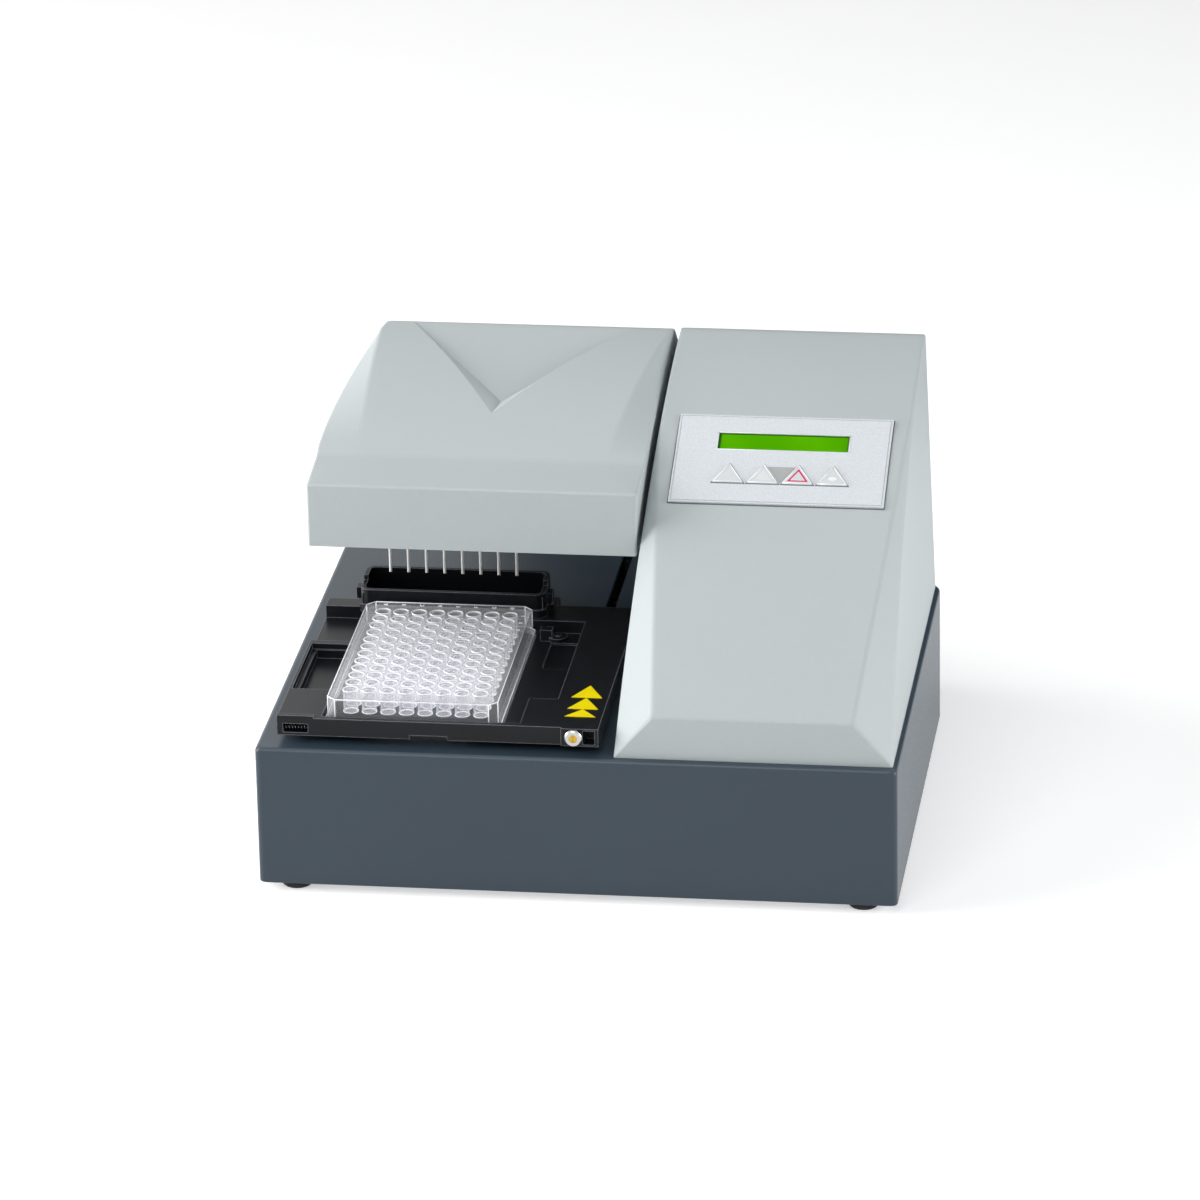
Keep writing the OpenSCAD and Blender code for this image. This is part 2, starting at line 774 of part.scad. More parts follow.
module hose_barbs() {
  color([0.85, 0.85, 0.83])
    place()
      for (i = [0 : barb_count - 1])
        translate([barb_x + i * barb_pitch, panel_b, rear_cz])
          rotate([-90, 0, 0])
            difference() {
              rotate_extrude()
                polygon(concat(
                  barb_foot(),
                  [for (k = [0 : ridge_count - 1]) each barb_ridge(k)],
                  [[barb_r - 0.4, barb_l + barb_tip], [0, barb_l + barb_tip]]
                ));
              translate([0, 0, -rear_t - 10]) cylinder(h = rear_t + barb_l + 16, r = barb_r - 1.2);
            }
}

// Openings and bosses of the tower cover
module tower_cover() {
  color(light)
    difference() {
      place()
        union() {
          difference() {
            loft([for (y = tower_stations(tower_f, cover_b)) tower_section(y, 0)]);
            loft([for (y = tower_stations(tower_f + cover_wall, cover_b - cover_wall))
              tower_section(y, cover_wall)]);
          }
          for (p = tower_boss_places())
            translate([p[0], p[1], deck_z]) cylinder(h = 16, r = boss_r + 1);
        }
      place() {
        for (p = tower_boss_places())
          translate([p[0], p[1], deck_z - 1]) cylinder(h = 13, r = boss_hole_r);
        // Slot for the head's arm
        translate([tower_l - 5, arm_y - arm_w / 2 - slot_gap, arm_z - head_travel - slot_gap])
          cube([20, arm_w + 2 * slot_gap, arm_t + head_travel + 2 * slot_gap]);
        translate([tower_l - 5, pin_y, pin_z]) rotate([0, 90, 0]) cylinder(h = 20, r = pin_r + 0.02);
      }
      on_panel() {
        translate([-panel_w / 2 - 0.2, -panel_l / 2 - 0.2, panel_seat])
          cube([panel_w + 0.4, panel_l + 0.4, 10]);
        translate([-panel_w / 2 + panel_edge, -panel_l / 2 + panel_edge, -20])
          cube([panel_w - 2 * panel_edge, panel_l - 2 * panel_edge, 30]);
      }
    }
}

module cover_screws() {
  color(steel)
    place()
      for (p = tower_boss_places()) translate([p[0], p[1], under_deck]) screw_up(deck_t + 10, boss_hole_r);
}

pin_y = 60;
pin_z = -2;
pin_r = 2.2;
pin_out = 2.4;

module stop_pin() {
  color(steel)
    place()
      translate([tower_left_x(pin_z) - pin_out, pin_y, pin_z])
        rotate([0, 90, 0]) cylinder(h = pin_out + cover_wall + 1, r = pin_r);
}

module triangle(w, h, apex_up = true) {
  polygon(apex_up ? [[-w / 2, 0], [w / 2, 0], [0, h]] : [[-w / 2, h], [0, 0], [w / 2, h]]);
}

// A key's outline grown by g on every side
module key_outline(g) {
  slope = atan(key_h / (key_w / 2));
  side = g / tan(slope / 2);
  top = g / cos(slope);
  translate([0, -g]) triangle(key_w + 2 * side, key_h + g + top);
}

function key_u(i) = key_u0 + i * key_pitch;
post_us = [key_u(0) - key_w / 2 - 4.5, key_u(key_count - 1) + key_w / 2 + 4.5];
post_vs = [key_v - 0.5, key_v + key_h - 0.5];
indicator_u = (key_u(1) + key_u(2)) / 2;

module control_panel() {
  color([0.80, 0.81, 0.83])
    on_panel()
      difference() {
        union() {
          translate([-panel_w / 2, -panel_l / 2, panel_seat]) cube([panel_w, panel_l, panel_t]);
          for (u = post_us) for (v = post_vs)
            translate([u, v, board_w]) cylinder(h = panel_seat - board_w, r = 2.2);
        }
        translate([-lcd_w / 2, lcd_v - lcd_h / 2, panel_seat - 1]) cube([lcd_w, lcd_h, panel_t + 2]);
        for (i = [0 : key_count - 1])
          translate([key_u(i), key_v, panel_seat - 1]) linear_extrude(panel_t + 2) key_outline(key_gap);
        translate([indicator_u, key_v + 0.2, panel_top - 0.5])
          linear_extrude(1) triangle(key_w - 1.5, key_h - 1.1, false);
        // Fine groove inside the panel's edge
        difference() {
          translate([-panel_w / 2 + groove_in, -panel_l / 2 + groove_in, panel_top - 0.4])
            cube([panel_w - 2 * groove_in, panel_l - 2 * groove_in, 1]);
          translate([-panel_w / 2 + groove_in + groove_w, -panel_l / 2 + groove_in + groove_w, panel_top - 1])
            cube([panel_w - 2 * (groove_in + groove_w), panel_l - 2 * (groove_in + groove_w), 2]);
        }
      }
}

module indicator() {
  color([0.62, 0.63, 0.64])
    on_panel()
      translate([indicator_u, key_v + 0.3, panel_top - 0.5])
        linear_extrude(0.6) triangle(key_w - 1.8, key_h - 1.35, false);
}

module lcd_window() {
  color([0.35, 0.70, 0.05])
    on_panel()
      translate([-lcd_w / 2 + 0.1, lcd_v - lcd_h / 2 + 0.1, panel_seat])
        cube([lcd_w - 0.2, lcd_h - 0.2, panel_t - 0.5]);
}

module lcd_module() {
  color([0.10, 0.35, 0.20])
    on_panel()
      union() {
        translate([-lcd_module_w / 2, lcd_v - lcd_module_h / 2, panel_seat - lcd_module_t])
          cube([lcd_module_w, lcd_module_h, lcd_module_t]);
        translate([-lcd_module_w / 2 - lcd_flange, lcd_v - lcd_module_h / 2,
                   panel_seat - lcd_module_t - board_t])
          cube([lcd_module_w + 2 * lcd_flange, lcd_module_h, board_t]);
      }
}

module key_board() {
  color([0.10, 0.35, 0.20])
    on_panel()
      union() {
        translate([post_us[0] - board_edge, post_vs[0] - board_edge, board_w - board_t])
          cube([post_us[1] - post_us[0] + 2 * board_edge, post_vs[1] - post_vs[0] + 1.5 * board_edge,
                board_t]);
        for (i = [0 : key_count - 1])
          translate([key_u(i) - 2.5, key_v + key_h / 3 - 2.5, board_w])
            cube([5, 5, board_switch_h]);
      }
}

key_stem_end = panel_seat - 0.4 - flange_t - stem_l;
board_switch_h = key_stem_end - key_travel - move_gap - board_w;

module key(i) {
  on_panel()
    translate([key_u(i), key_v, 0])
      union() {
        translate([0, 0, panel_seat - 0.4 - flange_t])
          linear_extrude(panel_t + 0.4 + flange_t + key_rise) key_outline(0);
        translate([0, 0, panel_seat - 0.4 - flange_t])
          linear_extrude(flange_t) key_outline(key_gap + flange_lap);
        translate([0, key_h / 3, key_stem_end]) cylinder(h = stem_l + 1, r = 2);
      }
}

module left_key() {
  color(pale) key(0);
}

module middle_key() {
  color(pale) key(1);
}

module stop_key() {
  color([0.90, 0.55, 0.70]) key(2);
}

module right_key() {
  color(pale) key(3);
}

// Features of the plate carrier: the shelf at its rear, and the pocket and low shelf left of the plate
shelf_over = 4;
rear_shelf_r = trough_l + trough_w + shelf_over;
rear_shelf_l = trough_l - shelf_over;
pocket_rim = 1.4;
pocket_ledge = 2.4;
ledge_drop = 3;
pocket_l = carrier_l + pocket_rim + pocket_ledge;
front_block_r = plate_l - 4;
pocket_f = 18;
pocket_d = 57;
pocket_t = 1.6;
low_shelf_f = 79;
low_shelf_d = 45;
low_shelf_t = 2.6;
lip_h = 1.2;
// The finger recess right of the plate, the step sunk into it and the window under the wells
pad_l = plate_r + 9.8;
recess_r = slot_x - 5.5;
recess_f = 16;
recess_b = plate_b + nest_gap;
step_f = 68;
step_d = 33;
step_in = 8.6;
window_in_x = 8;
window_f = 4;
window_d = last_y - 12;
fit_gap = 0.2;
knob_x = carrier_r - 11.8;
knob_z = (carrier_top + carrier_z) / 2 + 0.2;
knob_block_y = carrier_f - 1.5;
knob_shaft_r = 2.5;
lever_x = plate_r + 11.5;
lever_y = plate_b - 9;
lever_pin_r = 1.5;
triangle_x = carrier_r - 10.5;

module plate_carrier() {
  color(black)
    place()
      difference() {
        union() {
          translate([carrier_l, carrier_f, carrier_z])
            cube([carrier_r - carrier_l, carrier_b - carrier_f, carrier_t]);
          translate([rear_shelf_l, carrier_b - 1, carrier_z])
            cube([rear_shelf_r - rear_shelf_l, trough_b + 2 - carrier_b + 1, carrier_t]);
          // Block that holds the lock knob
          translate([knob_x - 6.2, knob_block_y, carrier_z])
            cube([carrier_r - knob_x + 6.2, 6, carrier_t]);
          // Raised lip at the left end of the front bar
          translate([carrier_l, carrier_f, carrier_top - 1])
            cube([front_block_r - carrier_l, 2.5, 1 + lip_h]);
        }
        // Nest for the plate, with the finger recess to its right
        translate([plate_l - nest_gap, plate_f - nest_gap, nest_z])
          cube([plate_w + 2 * nest_gap, recess_b - plate_f + nest_gap, 20]);
        translate([plate_r, plate_f - nest_gap, nest_z]) cube([pad_l - plate_r, recess_b - plate_f, 20]);
        translate([plate_r, recess_f, nest_z]) cube([recess_r - plate_r, recess_b - recess_f, 20]);
        // Sunken step in the recess
        translate([plate_r + step_in, step_f, nest_z - 1])
          rounded(recess_r - plate_r - step_in, step_d, 5, 2);
        // Window under the wells
        translate([window_in_x, window_f, carrier_z - 1]) cube([last_x - 2 * window_in_x, window_d, 20]);
        // Pocket on the left with a ledge along its rim, and the low shelf behind it
        translate([pocket_l, pocket_f, carrier_z + pocket_t])
          cube([plate_l - pocket_l, pocket_d - 1, 20]);
        translate([carrier_l + pocket_rim, pocket_f, carrier_top - ledge_drop])
          cube([plate_l - carrier_l - pocket_rim, pocket_d, 20]);
        translate([carrier_l - 1, low_shelf_f, carrier_z + low_shelf_t])
          cube([plate_l - carrier_l - 0.8, low_shelf_d, 20]);
        // Seat of the trough
        translate([trough_l + 1 - fit_gap, trough_f + 1 - fit_gap, carrier_z - 1])
          cube([trough_w - 2 + 2 * fit_gap, trough_d - 2 + 2 * fit_gap, 30]);
        // Notch under the front bar
        translate([31, carrier_f - 1, carrier_z - 1]) cube([18, 5, 3]);
        // Dark pockets at both ends of the front
        translate([carrier_l + 3, carrier_f - 1, carrier_z + 1.5]) cube([12, 7, 4.4]);
        translate([carrier_r - 7.4, knob_block_y - 1, carrier_z + 1]) cube([5.6, 9, 7]);
        // Bore of the lock knob
        translate([knob_x, knob_block_y - 1, knob_z])
          rotate([-90, 0, 0]) cylinder(h = 13, r = knob_shaft_r + run_fit);
        // Hole of the clamp's pivot
        translate([lever_x, lever_y, carrier_z - 1]) cylinder(h = 10, r = lever_pin_r + 0.02);
        for (y = bracket_screw_ys())
          translate([bracket_screw_x, y, carrier_z - 1]) cylinder(h = 6, r = boss_hole_r);
      }
}

bracket_screw_x = slot_x + 9.5;
function bracket_screw_ys() = [bracket_f + 7, bracket_f + bracket_l - 7];

module waste_trough() {
  color(black)
    place()
      difference() {
        union() {
          translate([trough_l + 1, trough_f + 1, carrier_z + 1])
            cube([trough_w - 2, trough_d - 2, trough_rise - carrier_z - 3]);
          translate([trough_l, trough_f, carrier_top + 4])
            rounded(trough_w, trough_d, trough_rise - carrier_top - 4, 5);
          // Higher rear half of the rim
          intersection() {
            translate([trough_l, trough_f, trough_rise - 1])
              rounded(trough_w, trough_d, trough_rear_rise + 1, 5);
            translate([trough_l - 1, trough_f + trough_d / 2, trough_rise - 1])
              cube([trough_w + 2, trough_d, trough_rear_rise + 2]);
          }
          translate([trough_l - 0.8, trough_f - 0.8, carrier_top])
            rounded(trough_w + 1.6, trough_d + 1.6, 4, 5);
          for (x = [trough_l - 3, trough_l + trough_w - 1])
            translate([x, trough_f + 8, carrier_top + 4]) cube([4, 6, 6]);
        }
        translate([trough_l + 1 + trough_wall, trough_f + 1 + trough_wall, trough_floor])
          rounded(trough_w - 2 - 2 * trough_wall, trough_d - 2 - 2 * trough_wall, 40, 3);
      }
}

pad_places = [[carrier_l + 8, 6], [carrier_l + 8, 100]];

module glide_pads() {
  color([0.85, 0.85, 0.82])
    place()
      for (p = pad_places)
        translate([p[0], p[1], deck_z + 0.1]) cylinder(h = carrier_z - deck_z - 0.1, r = 5);
}

module clamp_lever() {
  color(black)
    place()
      translate([0, 0, nest_z + 0.3])
        difference() {
          union() {
            translate([lever_x, lever_y, 0]) cylinder(h = lever_h, r = lever_r);
            translate([plate_r + jaw_in, lever_y - jaw_d / 2, 0]) cube([jaw_w, jaw_d, jaw_h]);
            translate([plate_r + 0.4, lever_y, jaw_h - 2.4])
              rotate([0, 90, 0]) cylinder(h = jaw_in, r = 0.9);
          }
          translate([lever_x, lever_y, -1]) cylinder(h = 20, r = lever_pin_r + run_fit);
        }
}

lever_h = 2.2;
lever_r = 4.8;
jaw_in = 3;
jaw_w = 6;
jaw_d = 5;
jaw_h = 6;
pivot_h = nest_z + 0.3 + lever_h + 0.3 - carrier_z;

module clamp_pivot() {
  color(black)
    place()
      translate([lever_x, lever_y, carrier_z])
        rotate_extrude()
          polygon([[0, 0], [lever_pin_r, 0], [lever_pin_r, pivot_h], [2, pivot_h], [1.8, pivot_h + 0.6],
                   [0, pivot_h + 0.8]]);
}

module lock_knob() {
  color(steel)
    place()
      translate([knob_x, knob_block_y, knob_z])
        rotate([-90, 0, 0])
          difference() {
            rotate_extrude()
              polygon([[0, -2.4], [3.6, -2.4], [4.3, -1.8], [4.3, -0.3], [knob_shaft_r, -0.3],
                       [knob_shaft_r, 9], [0, 9]]);
            translate([0, 0, -3]) cylinder(h = 2.6, r = 2);
          }
}

module lock_insert() {
  color([0.80, 0.62, 0.20])
    place()
      translate([knob_x, knob_block_y, knob_z])
        rotate([-90, 0, 0])
          difference() {
            translate([0, 0, -2.2]) cylinder(h = 1.8, r = 2);
            translate([-0.35, -3, -3]) cube([0.7, 6, 1.6]);
          }
}

module caution_triangles() {
  color([0.98, 0.85, 0.05])
    place()
      translate([triangle_x, 0, carrier_top])
        linear_extrude(0.3) {
          translate([0, 18.4]) triangle(15, 15);
          translate([0, 4.4]) triangle(15, 13.8);
          translate([0, -5]) triangle(15, 9.2);
        }
}

corner_cut = 4;

module plate_shape(w, d, h, c) {
  linear_extrude(h)
    polygon([[-w / 2 + c, -d / 2], [w / 2 - c, -d / 2], [w / 2, -d / 2 + c], [w / 2, d / 2 - c],
             [w / 2 - c, d / 2], [-w / 2 + c, d / 2], [-w / 2, d / 2 - c], [-w / 2, -d / 2 + c]]);
}

module each_well() {
  for (i = [0 : wells_across - 1]) for (j = [0 : wells_deep - 1])
    translate([i * well_pitch, j * well_pitch, 0]) children();
}

skirt_h = 3;
skirt_step = 1.4;
hollow_in = skirt_step + plate_wall;
plate_top_t = plate_wall + 0.6;

module microplate() {
  color([0.85, 0.90, 0.93])
    place()
      difference() {
        union() {
          difference() {
            translate([plate_cx, plate_cy, -plate_h])
              union() {
                plate_shape(plate_w, plate_d, skirt_h, corner_cut);
                plate_shape(plate_w - 2 * skirt_step, plate_d - 2 * skirt_step, plate_h, corner_cut);
              }
            translate([plate_cx, plate_cy, -plate_h - 1])
              plate_shape(plate_w - 2 * hollow_in, plate_d - 2 * hollow_in, plate_h + 1 - plate_top_t,
                          corner_cut);
          }
          each_well()
            translate([0, 0, -well_depth - plate_wall])
              cylinder(h = well_depth + plate_wall, r = well_r + plate_wall - 0.3, $fn = 32);
        }
        each_well() translate([0, 0, -well_depth]) cylinder(h = well_depth + 1, r = well_r, $fn = 32);
      }
}

module carrier_bracket() {
  color(steel)
    place()
      difference() {
        union() {
          translate([block_l - 5.5, bracket_f, carrier_z - 3]) cube([25, bracket_l, 3]);
          translate([block_l, bracket_f, shaft_z]) cube([arm_thin, bracket_l, carrier_z - shaft_z]);
          translate([block_l, bracket_f, shaft_z - block_half])
            cube([block_r - block_l, bracket_l, 2 * block_half]);
        }
        translate([shaft_x, bracket_f - 1, shaft_z])
          rotate([-90, 0, 0]) cylinder(h = bracket_l + 2, r = slide_bush_r);
        for (y = bracket_screw_ys())
          translate([bracket_screw_x, y, carrier_z - 4]) {
            cylinder(h = 6, r = 1.7);
            cylinder(h = 2, r = head_r3 + 0.2);
          }
      }
}

module bracket_screws() {
  color(steel)
    place()
      for (y = bracket_screw_ys())
        translate([bracket_screw_x, y, carrier_z - 2])
          rotate_extrude()
            polygon([[0, -0.9], [head_r3, -0.9], [head_r3, 0], [boss_hole_r, 0],
                     [boss_hole_r, 6.5], [0, 6.5]]);
}

module slide_bushings() {
  color([0.75, 0.60, 0.35])
    place()
      for (y = [bracket_f, bracket_f + bracket_l - 12])
        translate([shaft_x, y, shaft_z])
          rotate([-90, 0, 0])
            difference() {
              cylinder(h = 12, r = slide_bush_r);
              translate([0, 0, -1]) cylinder(h = 14, r = slide_shaft_r + run_fit);
            }
}

clamp_t = 2;
clamp_l = 20;
jaw_t = 3;
bridge_l = block_l + arm_thin + belt_gap;
jaw_l = block_r + belt_gap + belt_t + belt_gap;

module belt_clamp() {
  // Bridge over the belt's left run, with a jaw inside the loop
  color(steel)
    place()
      translate([0, bracket_f + 10, 0])
        union() {
          translate([bridge_l, 0, shaft_z + block_half]) cube([jaw_l + jaw_t - bridge_l, clamp_l, clamp_t]);
          translate([jaw_l, 0, belt_z]) cube([jaw_t, clamp_l, shaft_z + block_half - belt_z + eps]);
        }
}

module slide_shaft() {
  color(steel)
    place()
      translate([shaft_x, shaft_f, shaft_z])
        rotate([-90, 0, 0]) cylinder(h = shaft_b - shaft_f, r = slide_shaft_r);
}

support_t = 10;
shaft_f = -8;
shaft_b = base_b - 10;

module shaft_supports() {
  color(dark)
    place()
      for (y = [shaft_f + 1, shaft_b - support_t - 1])
        difference() {
          translate([block_l - 1, y, shaft_z - block_half])
            cube([block_r - block_l + 1, support_t, under_deck - shaft_z + block_half]);
          translate([shaft_x, y - 1, shaft_z])
            rotate([-90, 0, 0]) cylinder(h = support_t + 2, r = slide_shaft_r + 0.02);
        }
}

module belt_outline(r) {
  union() {
    for (y = [idler_y, drive_y]) translate([pulley_x, y]) circle(r);
    translate([pulley_x - r, idler_y]) square([2 * r, drive_y - idler_y]);
  }
}

module carrier_belt() {
  color([0.08, 0.08, 0.08])
    place()
      translate([0, 0, belt_z])
        linear_extrude(belt_w)
          difference() {
            belt_outline(pulley_r + belt_t);
            belt_outline(pulley_r + 0.05);
          }
}

module pulley(bore_r) {
  difference() {
    union() {
      cylinder(h = pulley_h, r = pulley_r - 0.2);
      cylinder(h = 0.8, r = pulley_r + 1);
      translate([0, 0, pulley_h - 0.8]) cylinder(h = 0.8, r = pulley_r + 1);
    }
    translate([0, 0, -1]) cylinder(h = pulley_h + 2, r = bore_r);
  }
}

drive_shaft_r = 2.5;
shaft_sink = 12;

module motor_pulley() {
  color(steel)
    place()
      translate([pulley_x, drive_y, 0])
        union() {
          translate([0, 0, pulley_z]) pulley(drive_shaft_r - 0.5);
          translate([0, 0, motor_plate_z - shaft_sink])
            cylinder(h = pulley_z + pulley_h - motor_plate_z + shaft_sink + 0.5, r = drive_shaft_r);
        }
}

module idler_pulley() {
  color(steel)
    place()
      translate([pulley_x, idler_y, pulley_z]) pulley(drive_shaft_r + run_fit);
}

module idler_bracket() {
  color(steel)
    place()
      translate([pulley_x, idler_y, 0])
        union() {
          translate([-10, -10, pulley_z + pulley_h + 0.4])
            cube([20, 20, under_deck - pulley_z - pulley_h - 0.4]);
          translate([0, 0, pulley_z - 1.2])
            cylinder(h = under_deck - pulley_z + 1.2, r = drive_shaft_r);
          translate([0, 0, pulley_z - 1.2]) cylinder(h = 0.9, r = drive_shaft_r + 1.5);
        }
}

module carrier_motor() {
  color([0.15, 0.15, 0.16])
    place()
      translate([pulley_x, drive_y, motor_plate_z])
        difference() {
          union() {
            translate([-slide_motor_w / 2, -slide_motor_w / 2, -motor_body_h])
              cube([slide_motor_w, slide_motor_w, motor_body_h]);
            cylinder(h = motor_plate_t, r = 11);
          }
          translate([0, 0, -shaft_sink - 0.5]) cylinder(h = 20, r = drive_shaft_r + run_fit);
        }
}

module motor_bracket() {
  color(steel)
    place()
      difference() {
        union() {
          translate([pulley_x - slide_motor_w / 2, drive_y - slide_motor_w / 2, motor_plate_z])
            cube([slide_motor_w + 2, slide_motor_w, motor_plate_t]);
          translate([pulley_x + slide_motor_w / 2, drive_y - slide_motor_w / 2, motor_plate_z])
            cube([2, slide_motor_w, under_deck - motor_plate_z]);
          translate([pulley_x + slide_motor_w / 2, drive_y - slide_motor_w / 2, under_deck - 2])
            cube([14, slide_motor_w, 2]);
        }
        translate([pulley_x, drive_y, motor_plate_z - 1]) cylinder(h = motor_plate_t + 2, r = 11.02);
      }
}

module head_cover() {
  color(light)
    place()
      difference() {
        union() {
          difference() {
            loft([for (y = head_stations(head_f, cover_b)) head_section(y, 0)]);
            loft([for (y = head_stations(head_f + cover_wall, cover_b - cover_wall))
              head_section(y, cover_wall)]);
          }
          intersection() {
            for (p = head_boss_places())
              translate([p[0], p[1], chassis_z + chassis_t]) cylinder(h = 60, r = boss_r);
            loft([for (y = head_stations(head_f + 1, cover_b - 1)) head_section(y, 1)]);
          }
        }
        for (p = head_boss_places())
          translate([p[0], p[1], chassis_z]) cylinder(h = 14, r = boss_hole_r);
        // Notch for the arm, open at the bottom
        translate([head_r - 8, arm_y - arm_w / 2 - slot_gap, head_z - 6])
          cube([20, arm_w + 2 * slot_gap, chassis_z - head_z + 6 + 1]);
      }
}

chassis_left = head_l + cover_wall + chassis_gap;
chassis_waist = 8;

module head_chassis() {
  chassis_right = head_r - cover_wall - chassis_gap;
  front = head_f + cover_wall + chassis_gap;
  back = cover_b - cover_wall - chassis_gap;
  color([0.30, 0.31, 0.33])
    place()
      difference() {
        translate([0, 0, chassis_z])
          linear_extrude(chassis_t)
            polygon([[chassis_left, front], [chassis_right, front], [chassis_right, back],
                     [chassis_left + chassis_waist, back], [chassis_left + chassis_waist, top_y],
                     [chassis_left, head_f + 42]]);
        for (p = head_boss_places())
          translate([p[0], p[1], chassis_z - 1]) cylinder(h = chassis_t + 2, r = 1.7);
        for (x = [manifold_l + manifold_screw_in, manifold_r - manifold_screw_in])
          translate([x, needle_y + manifold_screw_y, chassis_z - 1]) cylinder(h = chassis_t + 2, r = 1.7);
      }
}

module head_screws() {
  color(steel)
    place() {
      for (p = head_boss_places()) translate([p[0], p[1], chassis_z]) screw_up(chassis_t + 8, boss_hole_r);
      for (x = [manifold_l + manifold_screw_in, manifold_r - manifold_screw_in])
        translate([x, needle_y + manifold_screw_y, chassis_z + chassis_t])
          rotate([180, 0, 0]) screw_up(chassis_t + 5, boss_hole_r);
    }
}

module wash_manifold() {
  color([0.20, 0.21, 0.23])
    place()
      difference() {
        translate([manifold_l, manifold_f, manifold_z])
          cube([manifold_r - manifold_l, manifold_b - manifold_f, chassis_z - manifold_z]);
        for (i = [0 : wells_across - 1])
          translate([i * well_pitch, needle_y, manifold_z - 1])
            cylinder(h = 7, r = needle_r + 0.02, $fn = 24);
        for (x = [manifold_l + manifold_screw_in, manifold_r - manifold_screw_in])
          translate([x, needle_y + manifold_screw_y, chassis_z - 6]) cylinder(h = 7, r = boss_hole_r);
      }
}

module needles() {
  color(steel)
    place()
      for (i = [0 : wells_across - 1])
        translate([i * well_pitch, needle_y, needle_tip])
          difference() {
            cylinder(h = manifold_z + 5.5 - needle_tip, r = needle_r, $fn = 24);
            translate([0, 0, -1]) cylinder(h = manifold_z + 8 - needle_tip, r = needle_r * 0.6, $fn = 24);
          }
}

module lift_arm() {
  color([0.30, 0.31, 0.33])
    place()
      difference() {
        union() {
          translate([head_r - 60, arm_y - arm_w / 2, arm_z]) cube([lift_x - head_r + 60, arm_w, arm_t]);
          translate([lift_x - lift_block_w / 2, arm_y - lift_block_l / 2, lift_block_z])
            cube([lift_block_w, lift_block_l, lift_block_h]);
        }
        for (s = [-1, 1])
          translate([lift_x, arm_y + s * lift_span / 2, lift_block_z - 1])
            cylinder(h = lift_block_h + 2, r = lift_shaft_r + bush_wall);
        translate([lift_x, arm_y, lift_block_z - 1]) cylinder(h = lift_block_h + 2, r = nut_r);
      }
}

module lift_bushings() {
  color([0.75, 0.60, 0.35])
    place()
      for (s = [-1, 1])
        translate([lift_x, arm_y + s * lift_span / 2, lift_block_z])
          difference() {
            cylinder(h = lift_block_h, r = lift_shaft_r + bush_wall);
            translate([0, 0, -1]) cylinder(h = lift_block_h + 2, r = lift_shaft_r + run_fit);
          }
}

module lift_nut() {
  color([0.80, 0.62, 0.20])
    place()
      translate([lift_x, arm_y, lift_block_z])
        difference() {
          union() {
            cylinder(h = lift_block_h, r = nut_r);
            translate([0, 0, lift_block_h]) cylinder(h = 3, r = nut_r + 3);
          }
          translate([0, 0, -1]) cylinder(h = lift_block_h + 6, r = screw_r + run_fit);
        }
}

module lift_frame() {
  color(dark)
    place()
      difference() {
        union() {
          translate([lift_x - lift_frame_w / 2, arm_y - lift_frame_l / 2, deck_z])
            cube([lift_frame_w, lift_frame_l, frame_t]);
          translate([lift_x - lift_frame_w / 2 + 12, arm_y - lift_frame_l / 2, lift_top_z])
            cube([lift_frame_w - 12, lift_frame_l, frame_t]);
          translate([lift_x + lift_frame_w / 2 - frame_t, arm_y - lift_frame_l / 2, deck_z])
            cube([frame_t, lift_frame_l, lift_top_z - deck_z + frame_t]);
        }
        for (s = [-1, 1])
          translate([lift_x, arm_y + s * lift_span / 2, deck_z - 1])
            cylinder(h = lift_top_z - deck_z + frame_t + 2, r = lift_shaft_r + 0.02);
        translate([lift_x, arm_y, deck_z - 1])
          cylinder(h = lift_top_z - deck_z + frame_t + 2, r = screw_r + run_fit);
      }
}

module lift_shafts() {
  color(steel)
    place()
      for (s = [-1, 1])
        translate([lift_x, arm_y + s * lift_span / 2, deck_z + 0.2])
          cylinder(h = lift_top_z + frame_t - deck_z - 0.2, r = lift_shaft_r);
}

module lift_screw() {
  color(steel)
    place()
      translate([lift_x, arm_y, 0])
        union() {
          translate([0, 0, deck_z + 0.3]) cylinder(h = lift_top_z + frame_t - deck_z - 0.3, r = screw_r);
          translate([0, 0, deck_z - 14]) cylinder(h = 15, r = drive_shaft_r);
        }
}

module lift_motor() {
  color([0.15, 0.15, 0.16])
    place()
      translate([lift_x, arm_y, deck_z])
        difference() {
          translate([-lift_motor_w / 2, -lift_motor_w / 2, -lift_motor_h])
            cube([lift_motor_w, lift_motor_w, lift_motor_h]);
          translate([0, 0, -14.5]) cylinder(h = 20, r = drive_shaft_r + run_fit);
        }
}

pump_x = tower_l + 25.5;
pump_f = 14;
pump_r = 14;
pump_l = 62;
pump_z = bottom_top + pump_r + 4;

module dispense_pump() {
  color([0.18, 0.19, 0.20])
    place()
      union() {
        translate([pump_x, pump_f, pump_z]) rotate([-90, 0, 0]) cylinder(h = pump_l, r = pump_r);
        translate([pump_x - 16, pump_f - 16, pump_z - 15]) cube([32, 18, 30]);
        translate([pump_x - 12, pump_f + 6, bottom_top]) cube([24, 10, 10]);
        translate([pump_x - 12, pump_f + 44, bottom_top]) cube([24, 10, 10]);
        for (s = [-1, 1])
          translate([pump_x + s * 8, pump_f - 8, pump_z + 14.5]) cylinder(h = 9, r = 2.4);
      }
}

tube_x = base_r - 44;
tube_y = 150;
valve_f = 96;
valve_w = 50;
valve_d = 36;

module valve_block() {
  color([0.55, 0.57, 0.60])
    place()
      union() {
        translate([base_r - 30 - valve_w, valve_f, deck_z]) cube([valve_w, valve_d, 22]);
        for (i = [0 : 2])
          translate([base_r - 30 - valve_w + 10 + i * 15, valve_f + valve_d / 2, deck_z + 22])
            cylinder(h = 24, r = 6.2);
      }
}

tube_r = 2.6;
tube_bend = 8;

